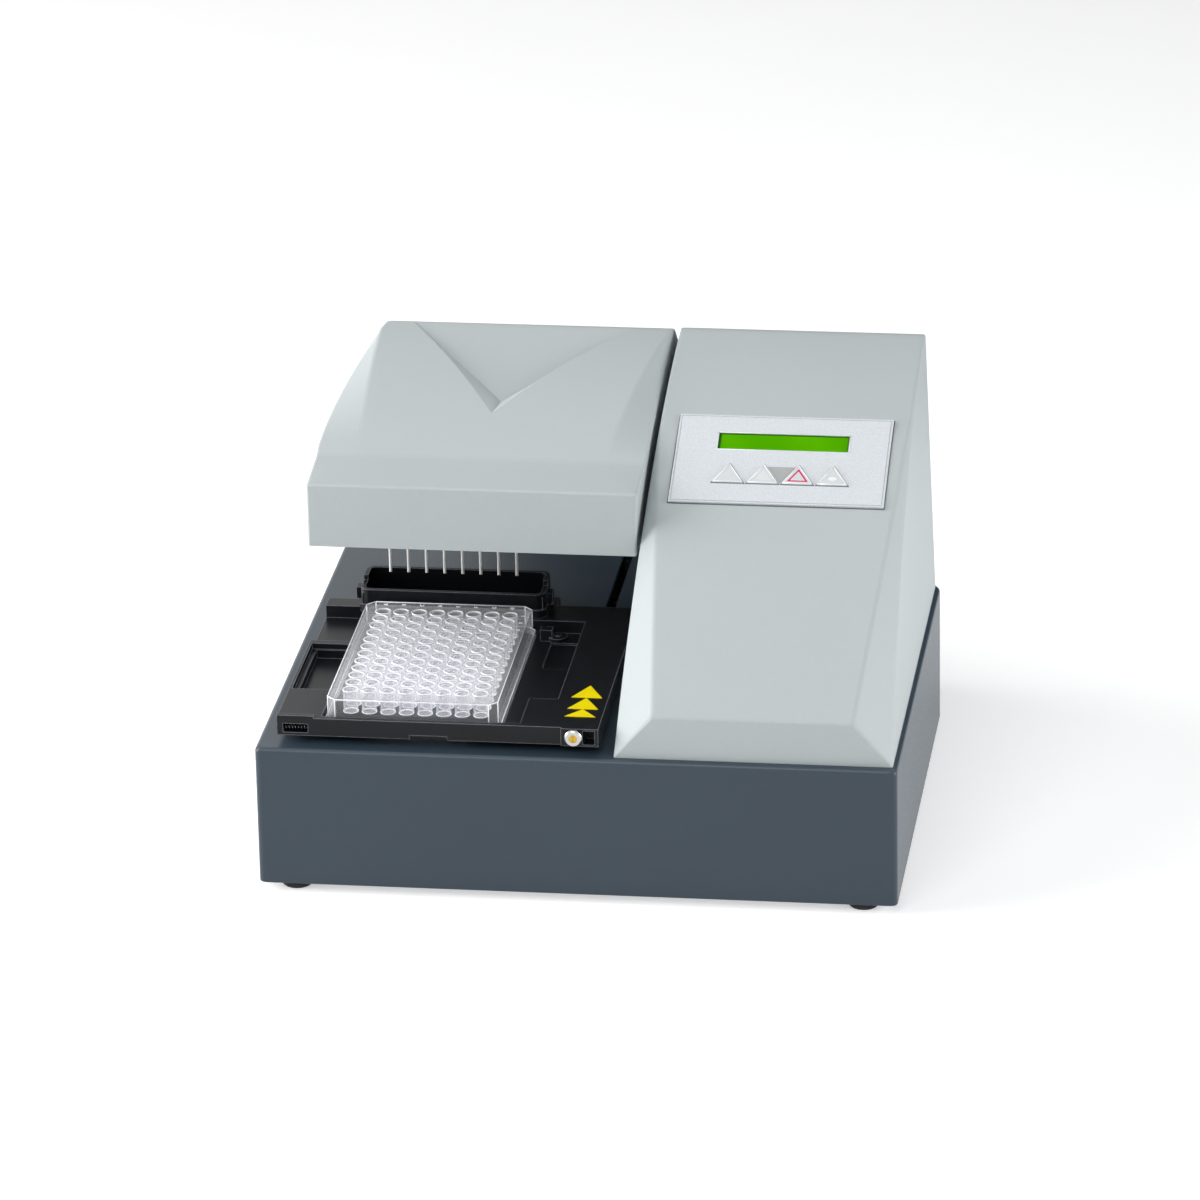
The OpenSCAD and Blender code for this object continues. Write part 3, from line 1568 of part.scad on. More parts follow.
module inner_tubes() {
  // Two tubes that rise beside the valve block from the base into the tower
  color([0.80, 0.82, 0.84])
    place()
      for (s = [-1, 1])
        translate([tube_x + s * 4, tube_y, 0])
          union() {
            translate([0, 0, bottom_top + 30]) cylinder(h = deck_z + 2 - bottom_top - 30, r = tube_r);
            translate([0, -tube_bend, deck_z + 2])
              rotate([90, 0, 90])
                rotate_extrude(angle = 90) translate([tube_bend, 0]) circle(tube_r);
            translate([0, valve_f + valve_d - tube_y, deck_z + 2 + tube_bend])
              rotate([-90, 0, 0]) cylinder(h = tube_y - tube_bend - valve_f - valve_d, r = tube_r);
          }
}

board_l = base_l + 14;
board_f = 96;
board_w2 = 96;
board_d = 120;
board_z = bottom_top + 6;

module main_board() {
  color([0.08, 0.35, 0.18])
    place()
      union() {
        translate([board_l, board_f, board_z]) cube([board_w2, board_d, 1.6]);
        for (x = [board_l + 4, board_l + board_w2 - 4]) for (y = [board_f + 4, board_f + board_d - 4])
          translate([x, y, bottom_top]) cylinder(h = 6.5, r = 3);
        translate([board_l + 30, board_f + 40, board_z + 1.6]) cube([24, 24, 3]);
        translate([board_l + 62, board_f + 20, board_z + 1.6]) cube([20, 12, 2.4]);
        translate([board_l + 10, board_f + 96, board_z + 1.6]) cube([50, 10, 9]);
        for (i = [0 : 2])
          translate([board_l + 14 + i * 12, board_f + 16, board_z + 1.6]) cylinder(h = 14, r = 4);
      }
}

psu_inset = 12;
psu_l = base_r - psu_inset - psu_w;
psu_f = 6;

module power_supply() {
  color([0.62, 0.63, 0.64])
    place()
      translate([psu_l, psu_f, bottom_top]) cube([psu_w, psu_d, psu_h]);
}

base_housing();
bottom_plate();
rubber_feet();
bottom_screws();
rear_panel();
rear_panel_screws();
tower_cover();
cover_screws();
stop_pin();
control_panel();
lcd_window();
lcd_module();
key_board();
left_key();
middle_key();
stop_key();
right_key();
indicator();
plate_carrier();
waste_trough();
glide_pads();
clamp_lever();
clamp_pivot();
lock_knob();
lock_insert();
caution_triangles();
microplate();
carrier_bracket();
bracket_screws();
slide_bushings();
belt_clamp();
slide_shaft();
shaft_supports();
carrier_belt();
motor_pulley();
idler_pulley();
idler_bracket();
carrier_motor();
motor_bracket();
head_cover();
head_chassis();
head_screws();
wash_manifold();
needles();
lift_arm();
lift_bushings();
lift_nut();
lift_frame();
lift_shafts();
lift_screw();
lift_motor();
dispense_pump();
valve_block();
inner_tubes();
main_board();
power_supply();
power_inlet();
power_switch();
data_port();
hose_barbs();
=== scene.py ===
import json
import math

import bmesh
import bpy
import numpy as np
from mathutils import Matrix, Vector

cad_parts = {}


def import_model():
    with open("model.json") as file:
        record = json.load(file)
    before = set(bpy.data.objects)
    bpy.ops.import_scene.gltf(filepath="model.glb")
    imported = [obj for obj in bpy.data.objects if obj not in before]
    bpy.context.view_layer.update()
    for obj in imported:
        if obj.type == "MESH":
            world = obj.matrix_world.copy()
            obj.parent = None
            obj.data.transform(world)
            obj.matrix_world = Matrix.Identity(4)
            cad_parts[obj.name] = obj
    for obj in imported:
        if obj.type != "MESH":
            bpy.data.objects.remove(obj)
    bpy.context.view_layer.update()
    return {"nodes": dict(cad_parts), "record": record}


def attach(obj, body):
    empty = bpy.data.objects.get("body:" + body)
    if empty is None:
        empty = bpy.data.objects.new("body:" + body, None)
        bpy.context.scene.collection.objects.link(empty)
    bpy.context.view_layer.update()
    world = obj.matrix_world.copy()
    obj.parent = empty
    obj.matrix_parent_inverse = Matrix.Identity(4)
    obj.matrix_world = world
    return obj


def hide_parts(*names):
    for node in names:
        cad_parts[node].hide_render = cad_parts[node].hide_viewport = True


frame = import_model()
nodes = frame["nodes"]

# The plate's own frame, in millimetres, against the object's frame
ORIGIN = np.array([-111.0, -126.5, 95.5])


def at(x, y, z):
    """A point of the plate's frame, in metres of the object's frame."""
    return tuple((np.array([x, y, z], float) + ORIGIN) / 1000)


# Sizes in millimetres, as the CAD has them
BASE_L, BASE_R, BASE_F, BASE_B = -43.0, 265.0, -26.0, 262.0
DECK, BASE_Z, CHAMFER = -21.0, -91.5, 54.0
TOWER_L, TOWER_R, TOWER_F, TOWER_TOP, TOP_Y = 129.5, 262.6, -22.0, 115.0, 205.0
COVER_B, COVER_REAR = 256.0, 76.0
HEAD_L, HEAD_R, HEAD_F, HEAD_Z, HEAD_EDGE = -28.7, 131.35, 58.0, 50.0, 82.0
HEAD_TOP, BEVEL_Y, HEAD_FACE = 114.2, 88.0, 86.0
PITCH, PLATE_H, WELL_R, WELL_D = 9.0, 14.35, 3.43, 10.67
PLATE_W, PLATE_D, PLATE_CX, PLATE_CY = 85.48, 127.76, 31.5, 49.5
PLATE_R = PLATE_CX + PLATE_W / 2
CARRIER_L, CARRIER_F = PLATE_CX - PLATE_W / 2 - 21.8, PLATE_CY - PLATE_D / 2 - 3.6
SLOT_X, SLOT_F, SLOT_B = PLATE_R + 29.3, 60.0, 236.0
ARM_Y, LIFT_X = 170.0, 165.0
ARM_F, ARM_B = ARM_Y - 19.5, ARM_Y + 19.5  # the slots that let the lift arm through
PANEL_W, PANEL_L = 104.3, 60.0
WALL = 3.0
TOWER_NOSE = 21.5  # height of the tower's face above the deck at its front end
MAIN_R, SIDE_R, HEAD_CURVE = 406.7, 357.0, 305.0  # radii of the tower's face, its sides and the head's top
LEFT_LEAN, RIGHT_LEAN, HEAD_LEAN = 0.05, 0.036, 0.025  # sideways per height
DRAW, DRAW_Y = 17.5, 95.0  # how far the head's left side draws in at the rear, and where it begins to


def put(name, data):
    """A new object in the scene."""
    o = bpy.data.objects.new(name, data)
    bpy.context.scene.collection.objects.link(o)
    return o


# Materials

def shader(name, colour, roughness, metallic=0.0):
    m = bpy.data.materials.new(name)
    m.use_nodes = True
    b = m.node_tree.nodes["Principled BSDF"]
    b.inputs["Base Color"].default_value = (*colour, 1)
    b.inputs["Roughness"].default_value = roughness
    b.inputs["Metallic"].default_value = metallic
    return m, m.node_tree, b


def noise(tree, scale, detail=3.0, stretch=None):
    coords = tree.nodes.new("ShaderNodeTexCoord")
    n = tree.nodes.new("ShaderNodeTexNoise")
    n.inputs["Scale"].default_value = scale
    n.inputs["Detail"].default_value = detail
    source = coords.outputs["Object"]
    if stretch:
        mapping = tree.nodes.new("ShaderNodeMapping")
        mapping.inputs["Scale"].default_value = stretch
        tree.links.new(source, mapping.inputs["Vector"])
        source = mapping.outputs["Vector"]
    tree.links.new(source, n.inputs["Vector"])
    return n.outputs["Fac"]


def remap(tree, value, low, high, start=0.3, end=0.7):
    r = tree.nodes.new("ShaderNodeMapRange")
    for key, v in (("From Min", start), ("From Max", end), ("To Min", low), ("To Max", high)):
        r.inputs[key].default_value = v
    tree.links.new(value, r.inputs["Value"])
    return r.outputs["Result"]


def tint(tree, b, value, dark, light, start=0.35, end=0.65):
    ramp = tree.nodes.new("ShaderNodeValToRGB")
    ramp.color_ramp.elements[0].position = start
    ramp.color_ramp.elements[1].position = end
    ramp.color_ramp.elements[0].color = (*dark, 1)
    ramp.color_ramp.elements[1].color = (*light, 1)
    tree.links.new(value, ramp.inputs["Fac"])
    tree.links.new(ramp.outputs["Color"], b.inputs["Base Color"])


def relief(tree, b, value, strength, distance):
    bump = tree.nodes.new("ShaderNodeBump")
    bump.inputs["Strength"].default_value = strength
    bump.inputs["Distance"].default_value = distance
    tree.links.new(value, bump.inputs["Height"])
    tree.links.new(bump.outputs["Normal"], b.inputs["Normal"])


def grained(name, colour, spread, roughness, scale, depth, metallic=0.0, cloud=12.0, detail=2.0, stretch=None,
            speck=0.0, specular=0.5):
    """A moulded or painted surface: broad faint shifts of tone, and a fine grain in its relief."""
    m, tree, b = shader(name, colour, roughness, metallic)
    b.inputs["Specular IOR Level"].default_value = specular
    c = np.array(colour)
    fine = noise(tree, scale, detail, stretch)
    tone = noise(tree, cloud, 4.0)
    if speck:
        both = tree.nodes.new("ShaderNodeMath")
        both.operation = "MULTIPLY_ADD"
        both.inputs[1].default_value = speck
        tree.links.new(fine, both.inputs[0])
        tree.links.new(tone, both.inputs[2])
        tone = remap(tree, both.outputs[0], 0.0, 1.0, 0.3 + 0.3 * speck, 0.7 + 0.7 * speck)
        tint(tree, b, tone, c * (1 - spread), c * (1 + spread), 0.0, 1.0)
    else:
        tint(tree, b, tone, c * (1 - spread), c * (1 + spread))
    relief(tree, b, fine, 0.35, depth)
    tree.links.new(remap(tree, fine, roughness * 0.88, roughness * 1.12), b.inputs["Roughness"])
    return m


def srgb(r, g, b):
    return tuple(((v / 255 + 0.055) / 1.055) ** 2.4 if v > 10 else v / 255 / 12.92 for v in (r, g, b))


slate = grained("slate_paint", srgb(49, 63, 74), 0.05, 0.36, 1100, 0.00010, speck=1.0, specular=0.45)
cover = grained("cover_grain", srgb(187, 194, 195), 0.025, 0.5, 1000, 0.00014, speck=1.2, specular=0.4)
black = grained("carrier_satin", srgb(20, 21, 25), 0.12, 0.32, 1500, 0.00006, speck=1.0, specular=0.22)
panel_mat = grained("panel_foil", srgb(212, 217, 221), 0.06, 0.5, 1300, 0.00010, metallic=0.2, cloud=1300)
key_mat = grained("key_plastic", srgb(216, 220, 222), 0.02, 0.42, 2600, 0.00004)
indicator_mat = grained("indicator_plastic", srgb(176, 178, 178), 0.03, 0.45, 2600, 0.00004)
zinc = grained("zinc_sheet", srgb(168, 171, 175), 0.06, 0.36, 900, 0.00004, metallic=0.85, cloud=90)
screw_mat = grained("plated_steel", srgb(176, 178, 181), 0.04, 0.30, 1500, 0.00003, metallic=0.95, cloud=60)
alu = grained("anodised_alloy", srgb(160, 162, 165), 0.04, 0.42, 1400, 0.00004, metallic=0.8, cloud=50,
              stretch=(1, 0.1, 1))
shaft_mat = grained("ground_steel", srgb(188, 190, 193), 0.03, 0.20, 1800, 0.00001, metallic=1.0, cloud=40)
# needles: near-white and hardly metallic, a painted glint in place of the steel's bright reflections
needle_painted_glint = grained("needle_steel", srgb(250, 249, 247), 0.02, 0.3, 1500, 0.00001, metallic=0.05, cloud=50)
dark_alloy = grained("dark_alloy", srgb(38, 40, 43), 0.05, 0.42, 1400, 0.00004, metallic=0.3, cloud=50)
spring_steel = grained("spring_steel", srgb(96, 96, 99), 0.05, 0.25, 1400, 0.00002, metallic=1.0, cloud=50)
chrome = grained("polished_chrome", srgb(186, 186, 183), 0.03, 0.16, 1200, 0.00002, metallic=1.0, cloud=200)
brass = grained("bare_brass", srgb(196, 160, 70), 0.06, 0.30, 1500, 0.00003, metallic=1.0, cloud=120)
bronze = grained("sintered_bronze", srgb(150, 118, 78), 0.08, 0.55, 2600, 0.00006, metallic=0.8, cloud=400)
rubber = grained("foot_rubber", srgb(24, 24, 25), 0.1, 0.75, 1200, 0.0001)
belt_mat = grained("belt_rubber", srgb(20, 20, 21), 0.1, 0.7, 700, 0.0002)
pad_mat = grained("white_nylon", srgb(214, 214, 208), 0.03, 0.42, 1400, 0.00004)
motor_mat = grained("motor_paint", srgb(34, 34, 36), 0.1, 0.45, 1500, 0.00006)
board = grained("board_green", srgb(18, 92, 52), 0.15, 0.35, 700, 0.00006, cloud=160)
dark_block = grained("manifold_dark", srgb(40, 42, 46), 0.08, 0.45, 1800, 0.00006)
tube_mat = grained("tube_clear", srgb(206, 212, 214), 0.03, 0.25, 700, 0.00002)
yellow = grained("caution_yellow", srgb(255, 232, 4), 0.02, 0.35, 1500, 0.00002, specular=0.2)
magenta = grained("mark_magenta", srgb(216, 0, 92), 0.03, 0.4, 1500, 0.00001, specular=0.2)
# white for the printed oval, and for the painted highlights along the keys' edges
white_print_and_highlight = grained("white_print_and_highlight", srgb(244, 245, 246), 0.01, 0.4, 1500, 0.00001)
inlet_mat = grained("inlet_black", srgb(26, 26, 27), 0.1, 0.5, 1500, 0.00006)


def lit_green():
    """Back-lit display: a bright green with faint broad shifts, and fine dots in its relief."""
    m, tree, b = shader("display_green", srgb(86, 178, 2), 0.4)
    b.inputs["Specular IOR Level"].default_value = 0.0
    tint(tree, b, noise(tree, 26.0, 1.0), srgb(76, 166, 0), srgb(96, 188, 6))
    relief(tree, b, noise(tree, 3000, 1.0), 0.1, 0.00002)
    return m


display = lit_green()
# painted shadow of the display's recess: dark strips on the left and top, less dark strips on the right and
# bottom
display_painted_shadow = grained("display_shade", srgb(34, 92, 2), 0.08, 0.5, 1500, 0.00002, specular=0.1)
display_painted_shade = grained("display_edge_shade", srgb(70, 112, 30), 0.08, 0.5, 1500, 0.00002, specular=0.1)
# the pale bead around the display: a painted highlight, paler than the panel
lip_painted_highlight = grained("display_lip_highlight", srgb(222, 225, 228), 0.02, 0.35, 1500, 0.00002)
# dark grey for the painted shade in the gaps around the keys and the panel
gap_shade_mat = grained("key_gap_painted_shade", srgb(92, 96, 101), 0.04, 0.5, 1500, 0.00002)
faint_mat = grained("key_mark_faint", srgb(224, 228, 229), 0.01, 0.4, 1500, 0.00001)


def clear_plastic(name, colour, alpha_face, alpha_edge, roughness):
    """Clear plate plastic: nearly invisible face on, pale where it turns away."""
    m, tree, b = shader(name, colour, roughness)
    b.inputs["IOR"].default_value = 1.58
    facing = tree.nodes.new("ShaderNodeLayerWeight")
    facing.inputs["Blend"].default_value = 0.35
    alpha = remap(tree, facing.outputs["Facing"], alpha_face, alpha_edge, 0.1, 0.95)
    tree.links.new(alpha, b.inputs["Alpha"])
    tint(tree, b, noise(tree, 60.0, 2.0), tuple(0.94 * c for c in colour), colour)
    relief(tree, b, noise(tree, 220.0, 1.0), 0.06, 0.0004)
    m.blend_method = "BLEND"
    return m


def painted_edge_highlights(m, colour, radius):
    """Painted highlights: pale thin lines where the surface turns over an edge, standing in for the glints
    that light makes on polished moulded edges.
    """
    tree = m.node_tree
    b = tree.nodes["Principled BSDF"]
    rounded = tree.nodes.new("ShaderNodeBevel")
    rounded.samples = 6
    rounded.inputs["Radius"].default_value = radius
    real = tree.nodes.new("ShaderNodeNewGeometry")
    dot = tree.nodes.new("ShaderNodeVectorMath")
    dot.operation = "DOT_PRODUCT"
    tree.links.new(rounded.outputs["Normal"], dot.inputs[0])
    tree.links.new(real.outputs["Normal"], dot.inputs[1])
    highlight_mask = remap(tree, dot.outputs["Value"], 1.0, 0.0, 0.90, 0.985)
    both = tree.nodes.new("ShaderNodeMix")
    both.data_type = "RGBA"
    sockets = {s.identifier: s for s in both.inputs}
    tree.links.new(highlight_mask, sockets["Factor_Float"])
    tree.links.new(b.inputs["Base Color"].links[0].from_socket, sockets["A_Color"])
    sockets["B_Color"].default_value = (*colour, 1)
    result = {s.identifier: s for s in both.outputs}["Result_Color"]
    tree.links.new(result, b.inputs["Base Color"])


# painted highlights on the carrier's edges: a pale colour mixed in near every edge
painted_edge_highlights(black, srgb(134, 138, 145), 0.0006)
clear = clear_plastic("clear_plastic", (0.90, 0.91, 0.95), 0.06, 0.36, 0.06)
# the wells: a greyer, more opaque copy of the clear plastic, as painted shade seen through them
clear_well = clear_plastic("clear_well", (0.74, 0.75, 0.80), 0.26, 0.58, 0.10)
# a near-white, nearly opaque copy of the clear plastic: painted highlights for the rims, well bottoms, edge
# beads and raised marks
clear_highlight_white = clear_plastic("clear_highlight_white", (0.98, 0.98, 1.0), 0.88, 0.98, 0.14)

finish = {
    "zinc_steel": zinc, "foot_rubber": rubber, "screw_steel": screw_mat, "cover_plastic": cover,
    "slate_plastic": slate, "panel_silver": panel_mat, "lcd_green": display, "board_green": board,
    "key_grey": key_mat, "indicator_grey": indicator_mat, "carrier_black": black, "pad_white": pad_mat,
    "knob_chrome": chrome, "insert_brass": brass, "caution_yellow": yellow, "plate_clear": clear,
    "machined_alu": alu, "bush_bronze": bronze, "belt_rubber": belt_mat, "motor_black": motor_mat,
    "manifold_dark": dark_block, "needle_steel": needle_painted_glint, "shaft_steel": shaft_mat,
    "tube_clear": tube_mat, "inlet_black": inlet_mat,
}


def paint(o, m):
    o.data.materials.clear()
    o.data.materials.append(m)


# Pieces

def piece(name, verts, faces, m, body, smooth=True):
    """A mesh from points of the plate's frame, in millimetres."""
    mesh = bpy.data.meshes.new(name)
    mesh.from_pydata(((np.array(verts, float) + ORIGIN) / 1000).tolist(), [], [list(f) for f in faces])
    mesh.validate()
    o = put(name, mesh)
    mesh.polygons.foreach_set("use_smooth", [smooth] * len(mesh.polygons))
    o.data.materials.append(m)
    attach(o, body)
    return o


def apply_all(o):
    deps = bpy.context.evaluated_depsgraph_get()
    mesh = bpy.data.meshes.new_from_object(o.evaluated_get(deps))
    o.modifiers.clear()
    o.data = mesh


def weld(o, angle=50.0):
    """Merge doubled points and shade by angle, with the large faces kept flat."""
    bm = bmesh.new()
    bm.from_mesh(o.data)
    bmesh.ops.remove_doubles(bm, verts=bm.verts, dist=2e-6)
    bm.to_mesh(o.data)
    bm.free()
    o.data.polygons.foreach_set("use_smooth", [True] * len(o.data.polygons))
    o.data.set_sharp_from_angle(angle=math.radians(angle))
    w = o.modifiers.new("even", "WEIGHTED_NORMAL")
    w.keep_sharp = True
    w.weight = 60


def cut(o, cutters):
    for c in cutters:
        mod = o.modifiers.new("cut", "BOOLEAN")
        mod.operation = "DIFFERENCE"
        mod.solver = "EXACT"
        mod.object = c
    apply_all(o)
    for c in cutters:
        bpy.data.objects.remove(c)


def block(x0, y0, z0, x1, y1, z1, turn=None):
    """A plain block for cutting, in the plate's frame."""
    p = [(x, y, z) for x in (x0, x1) for y in (y0, y1) for z in (z0, z1)]
    f = [(0, 1, 3, 2), (4, 6, 7, 5), (0, 4, 5, 1), (2, 3, 7, 6), (0, 2, 6, 4), (1, 5, 7, 3)]
    if turn is not None:
        p = [turn(*q) for q in p]
    mesh = bpy.data.meshes.new("cutter")
    mesh.from_pydata([at(*q) for q in p], [], f)
    bm = bmesh.new()
    bm.from_mesh(mesh)
    bmesh.ops.recalc_face_normals(bm, faces=bm.faces)
    bm.to_mesh(mesh)
    bm.free()
    return put("cutter", mesh)


# Curves of the covers, as the CAD has them

def arc_centre(a, b, r):
    a, b = np.array(a, float), np.array(b, float)
    d = np.linalg.norm(b - a)
    u = (b - a) / d
    return (a + b) / 2 + math.sqrt(r * r - d * d / 4) * np.array([u[1], -u[0]])


def arc_z(y, c, r):
    return c[1] + math.sqrt(r * r - (y - c[0]) ** 2)


def clamp(v, lo=0.0, hi=1.0):
    return max(lo, min(hi, v))


def mix(a, b, t):
    return a + (b - a) * t


def soft_min(a, b, k):
    h = clamp(0.5 + 0.5 * (b - a) / k)
    return mix(b, a, h) - k * h * (1 - h)


MAIN_C = arc_centre((TOWER_F, DECK + TOWER_NOSE), (TOP_Y, TOWER_TOP), MAIN_R)
SIDE_C = arc_centre((TOWER_F, DECK), (TOP_Y, TOWER_TOP), SIDE_R)
HEAD_C = arc_centre((BEVEL_Y, HEAD_FACE), (TOP_Y, HEAD_TOP), HEAD_CURVE)


def rear_slope(y, top):
    return top + (COVER_REAR - top) * (y - TOP_Y) / (COVER_B - TOP_Y)


def tower_main(y):
    face = arc_z(min(y, 240), MAIN_C, MAIN_R) + max(0, y - 240) * -0.2
    return soft_min(face, rear_slope(y, TOWER_TOP), 3.0)


def tower_side(y):
    return min(arc_z(min(y, TOP_Y), SIDE_C, SIDE_R), tower_main(y) - 0.4)


def tower_left(z):
    return TOWER_L + LEFT_LEAN * (z - DECK)


def tower_right(z, y):
    return TOWER_R - RIGHT_LEAN * (z - DECK) - max(0, y - (BASE_B - CHAMFER))


def tower_section(y, t):
    zb = DECK if t < 2 else DECK + 0.001
    zs = max(tower_side(y) - t, DECK + 0.5)
    zm = tower_main(y) - t
    # The face's left edge nears the side towards the rear, and its right edge runs out to the side in a curve
    a = max(TOWER_L + 18.5 - 0.0907 * (y - TOWER_F), tower_left(tower_side(y)) + 0.8)
    k = clamp((y - TOWER_F) / (TOP_Y - TOWER_F))
    b = min(BASE_R - 6.7 - 14.6 * (1 - k) ** 2.4, tower_right(tower_side(y), y) - 0.8)
    return [(tower_left(zb) + t, zb), (tower_left(zs) + t, zs), (a + 0.6 * t, zm), (b - 0.6 * t, zm),
            (tower_right(zs, y) - t, zs), (tower_right(zb, y) - t, zb)]


def head_main(y):
    if y <= BEVEL_Y:
        return HEAD_EDGE + (HEAD_FACE - HEAD_EDGE) * (y - HEAD_F) / (BEVEL_Y - HEAD_F)
    return soft_min(arc_z(y, HEAD_C, HEAD_CURVE), rear_slope(y, HEAD_TOP), 3.0)


def head_side(y):
    k = clamp((y - HEAD_F) / (TOP_Y - HEAD_F))
    return min(HEAD_EDGE + (HEAD_TOP - HEAD_EDGE) * k ** 1.15, head_main(y) - 0.4)


def head_left(y):
    if y <= TOP_Y:
        return HEAD_L + DRAW * max(0, (y - DRAW_Y) / (TOP_Y - DRAW_Y)) ** 1.7
    return HEAD_L + DRAW * (rear_slope(y, HEAD_TOP) - HEAD_Z) / (HEAD_TOP - HEAD_Z)


def head_right(z):
    return HEAD_R + HEAD_LEAN * (z - HEAD_Z)


# The V-shaped hollow in the head's top: its tip, its inner corner, its depth and its two ends at the rear
NOTCH_X, NOTCH_Y, NOTCH_IN_X, NOTCH_IN_Y, NOTCH_D = 53.4, 119.5, 56.0, 133.5, 3.7
NOTCH_L, NOTCH_R = 1.4, 114.7


def notch_out(y, end):
    return mix(NOTCH_X, end, clamp((y - NOTCH_Y) / (TOP_Y - NOTCH_Y)))


def notch_in(y, end):
    if y < NOTCH_IN_Y:
        return mix(NOTCH_X, NOTCH_IN_X, clamp((y - NOTCH_Y) / (NOTCH_IN_Y - NOTCH_Y)))
    return mix(NOTCH_IN_X, end, clamp((y - NOTCH_IN_Y) / (TOP_Y - NOTCH_IN_Y)))


def notch_z(y):
    low = head_main(NOTCH_IN_Y) - NOTCH_D
    if y <= NOTCH_Y or y >= TOP_Y:
        return head_main(y)
    if y < NOTCH_IN_Y:
        return mix(head_main(NOTCH_Y), low, (y - NOTCH_Y) / (NOTCH_IN_Y - NOTCH_Y))
    return min(head_main(y), mix(low, HEAD_TOP, (y - NOTCH_IN_Y) / (TOP_Y - NOTCH_IN_Y)))


def head_section(y, t):
    zs, zm, zn = head_side(y) - t, head_main(y) - t, notch_z(y) - t
    k = clamp((y - HEAD_F) / (BEVEL_Y - HEAD_F))
    s = clamp((y - BEVEL_Y) / (TOP_Y - BEVEL_Y))
    a = max(HEAD_L + 20 * k - 5 * s, head_left(y) + 0.8)
    b = min(HEAD_R - 19.4 * k + 20.5 * s, head_right(head_side(y)) - 0.8)
    return [(HEAD_L + t, HEAD_Z), (head_left(y) + t, zs), (a + 0.8 * t, zm),
            (notch_out(y, NOTCH_L) - 0.6, zm), (notch_in(y, NOTCH_L) - 0.3, zn),
            (notch_in(y, NOTCH_R) + 0.3, zn), (notch_out(y, NOTCH_R) + 0.6, zm),
            (b - 0.8 * t, zm), (head_right(zs) - t, zs), (HEAD_R - t, HEAD_Z)]


def filleted(points, reach, steps=5):
    """An open outline with each inner corner turned into a short curve."""
    p = [np.array(q, float) for q in points]
    out = [p[0]]
    for i in range(1, len(p) - 1):
        back, on = p[i - 1] - p[i], p[i + 1] - p[i]
        lb, lo = np.linalg.norm(back) + 1e-9, np.linalg.norm(on) + 1e-9
        r = reach[i - 1]
        a, b = p[i] + back / lb * min(r, 0.45 * lb), p[i] + on / lo * min(r, 0.45 * lo)
        for t in np.linspace(0, 1, steps):
            out.append((1 - t) ** 2 * a + 2 * t * (1 - t) * p[i] + t * t * b)
    out.append(p[-1])
    return np.array(out)


def shell(name, section, front, rear, wall, reach, ys, m, body, edge=1.2):
    """A hollow cover, open at the bottom, through sections from front to rear with rounded ends."""
    turns = np.radians([0, 18, 36, 54, 72, 90])
    stations = [(front + edge * (1 - math.cos(a)), edge * (1 - math.sin(a))) for a in turns]
    stations += [(y, 0.0) for y in ys if front + edge + 0.8 < y < rear - edge - 0.8]
    stations += [(rear - edge * (1 - math.cos(a)), edge * (1 - math.sin(a))) for a in turns[::-1]]
    outer = []
    for y, t in stations:
        line = filleted(section(y, t), reach)
        outer.append([(x, y, z) for x, z in line])
    inner_ys = np.linspace(front + wall, rear - wall, 24)
    inner = [[(x, y, z) for x, z in filleted(section(y, wall), reach)] for y in inner_ys]
    n = len(outer[0])
    verts = [p for ring in outer for p in ring] + [p for ring in inner for p in ring]
    start = len(outer) * n
    faces = []
    for base, rings, flip in ((0, len(outer), False), (start, len(inner), True)):
        for i in range(rings - 1):
            for j in range(n - 1):
                a = base + i * n + j
                f = (a, a + 1, a + n + 1, a + n)
                faces.append(f[::-1] if flip else f)
        first = [base + j for j in range(n)]
        last = [base + (rings - 1) * n + j for j in range(n)]
        faces.append(first if flip else first[::-1])
        faces.append(last[::-1] if flip else last)
    left_o, left_i = [i * n for i in range(len(outer))], [start + i * n for i in range(len(inner))]
    right_o, right_i = [v + n - 1 for v in left_o], [v + n - 1 for v in left_i]
    rim = left_o + right_o[::-1]
    hole = left_i + right_i[::-1]
    o = piece(name, verts, faces, m, body)
    bm = bmesh.new()
    bm.from_mesh(o.data)
    bm.verts.ensure_lookup_table()
    edges = []
    for loop in (rim, hole):
        for a, b in zip(loop, loop[1:] + loop[:1]):
            e = bm.edges.get((bm.verts[a], bm.verts[b])) or bm.edges.new((bm.verts[a], bm.verts[b]))
            edges.append(e)
    bmesh.ops.triangle_fill(bm, edges=edges, use_beauty=True, use_dissolve=False)
    bmesh.ops.recalc_face_normals(bm, faces=bm.faces)
    bm.to_mesh(o.data)
    bm.free()
    return o


# Place of the control panel on the tower's face
PANEL_C = (TOWER_L + 67.7, TOWER_F + 123.5)
PANEL_CZ = arc_z(PANEL_C[1], MAIN_C, MAIN_R)
TILT = math.atan((MAIN_C[0] - PANEL_C[1]) / (PANEL_CZ - MAIN_C[1]))
SAG = PANEL_L ** 2 / (8 * MAIN_R)


def on_panel(u, v, w):
    """A point of the panel's own plane, in the plate's frame."""
    w -= SAG
    return (PANEL_C[0] + u, PANEL_C[1] + v * math.cos(TILT) - w * math.sin(TILT),
            PANEL_CZ + v * math.sin(TILT) + w * math.cos(TILT))


def spaced(marks, gap):
    out = []
    for a, b in zip(marks, marks[1:]):
        n = max(1, round((b - a) / gap))
        out += list(np.linspace(a, b, n, endpoint=False))
    return out + [marks[-1]]


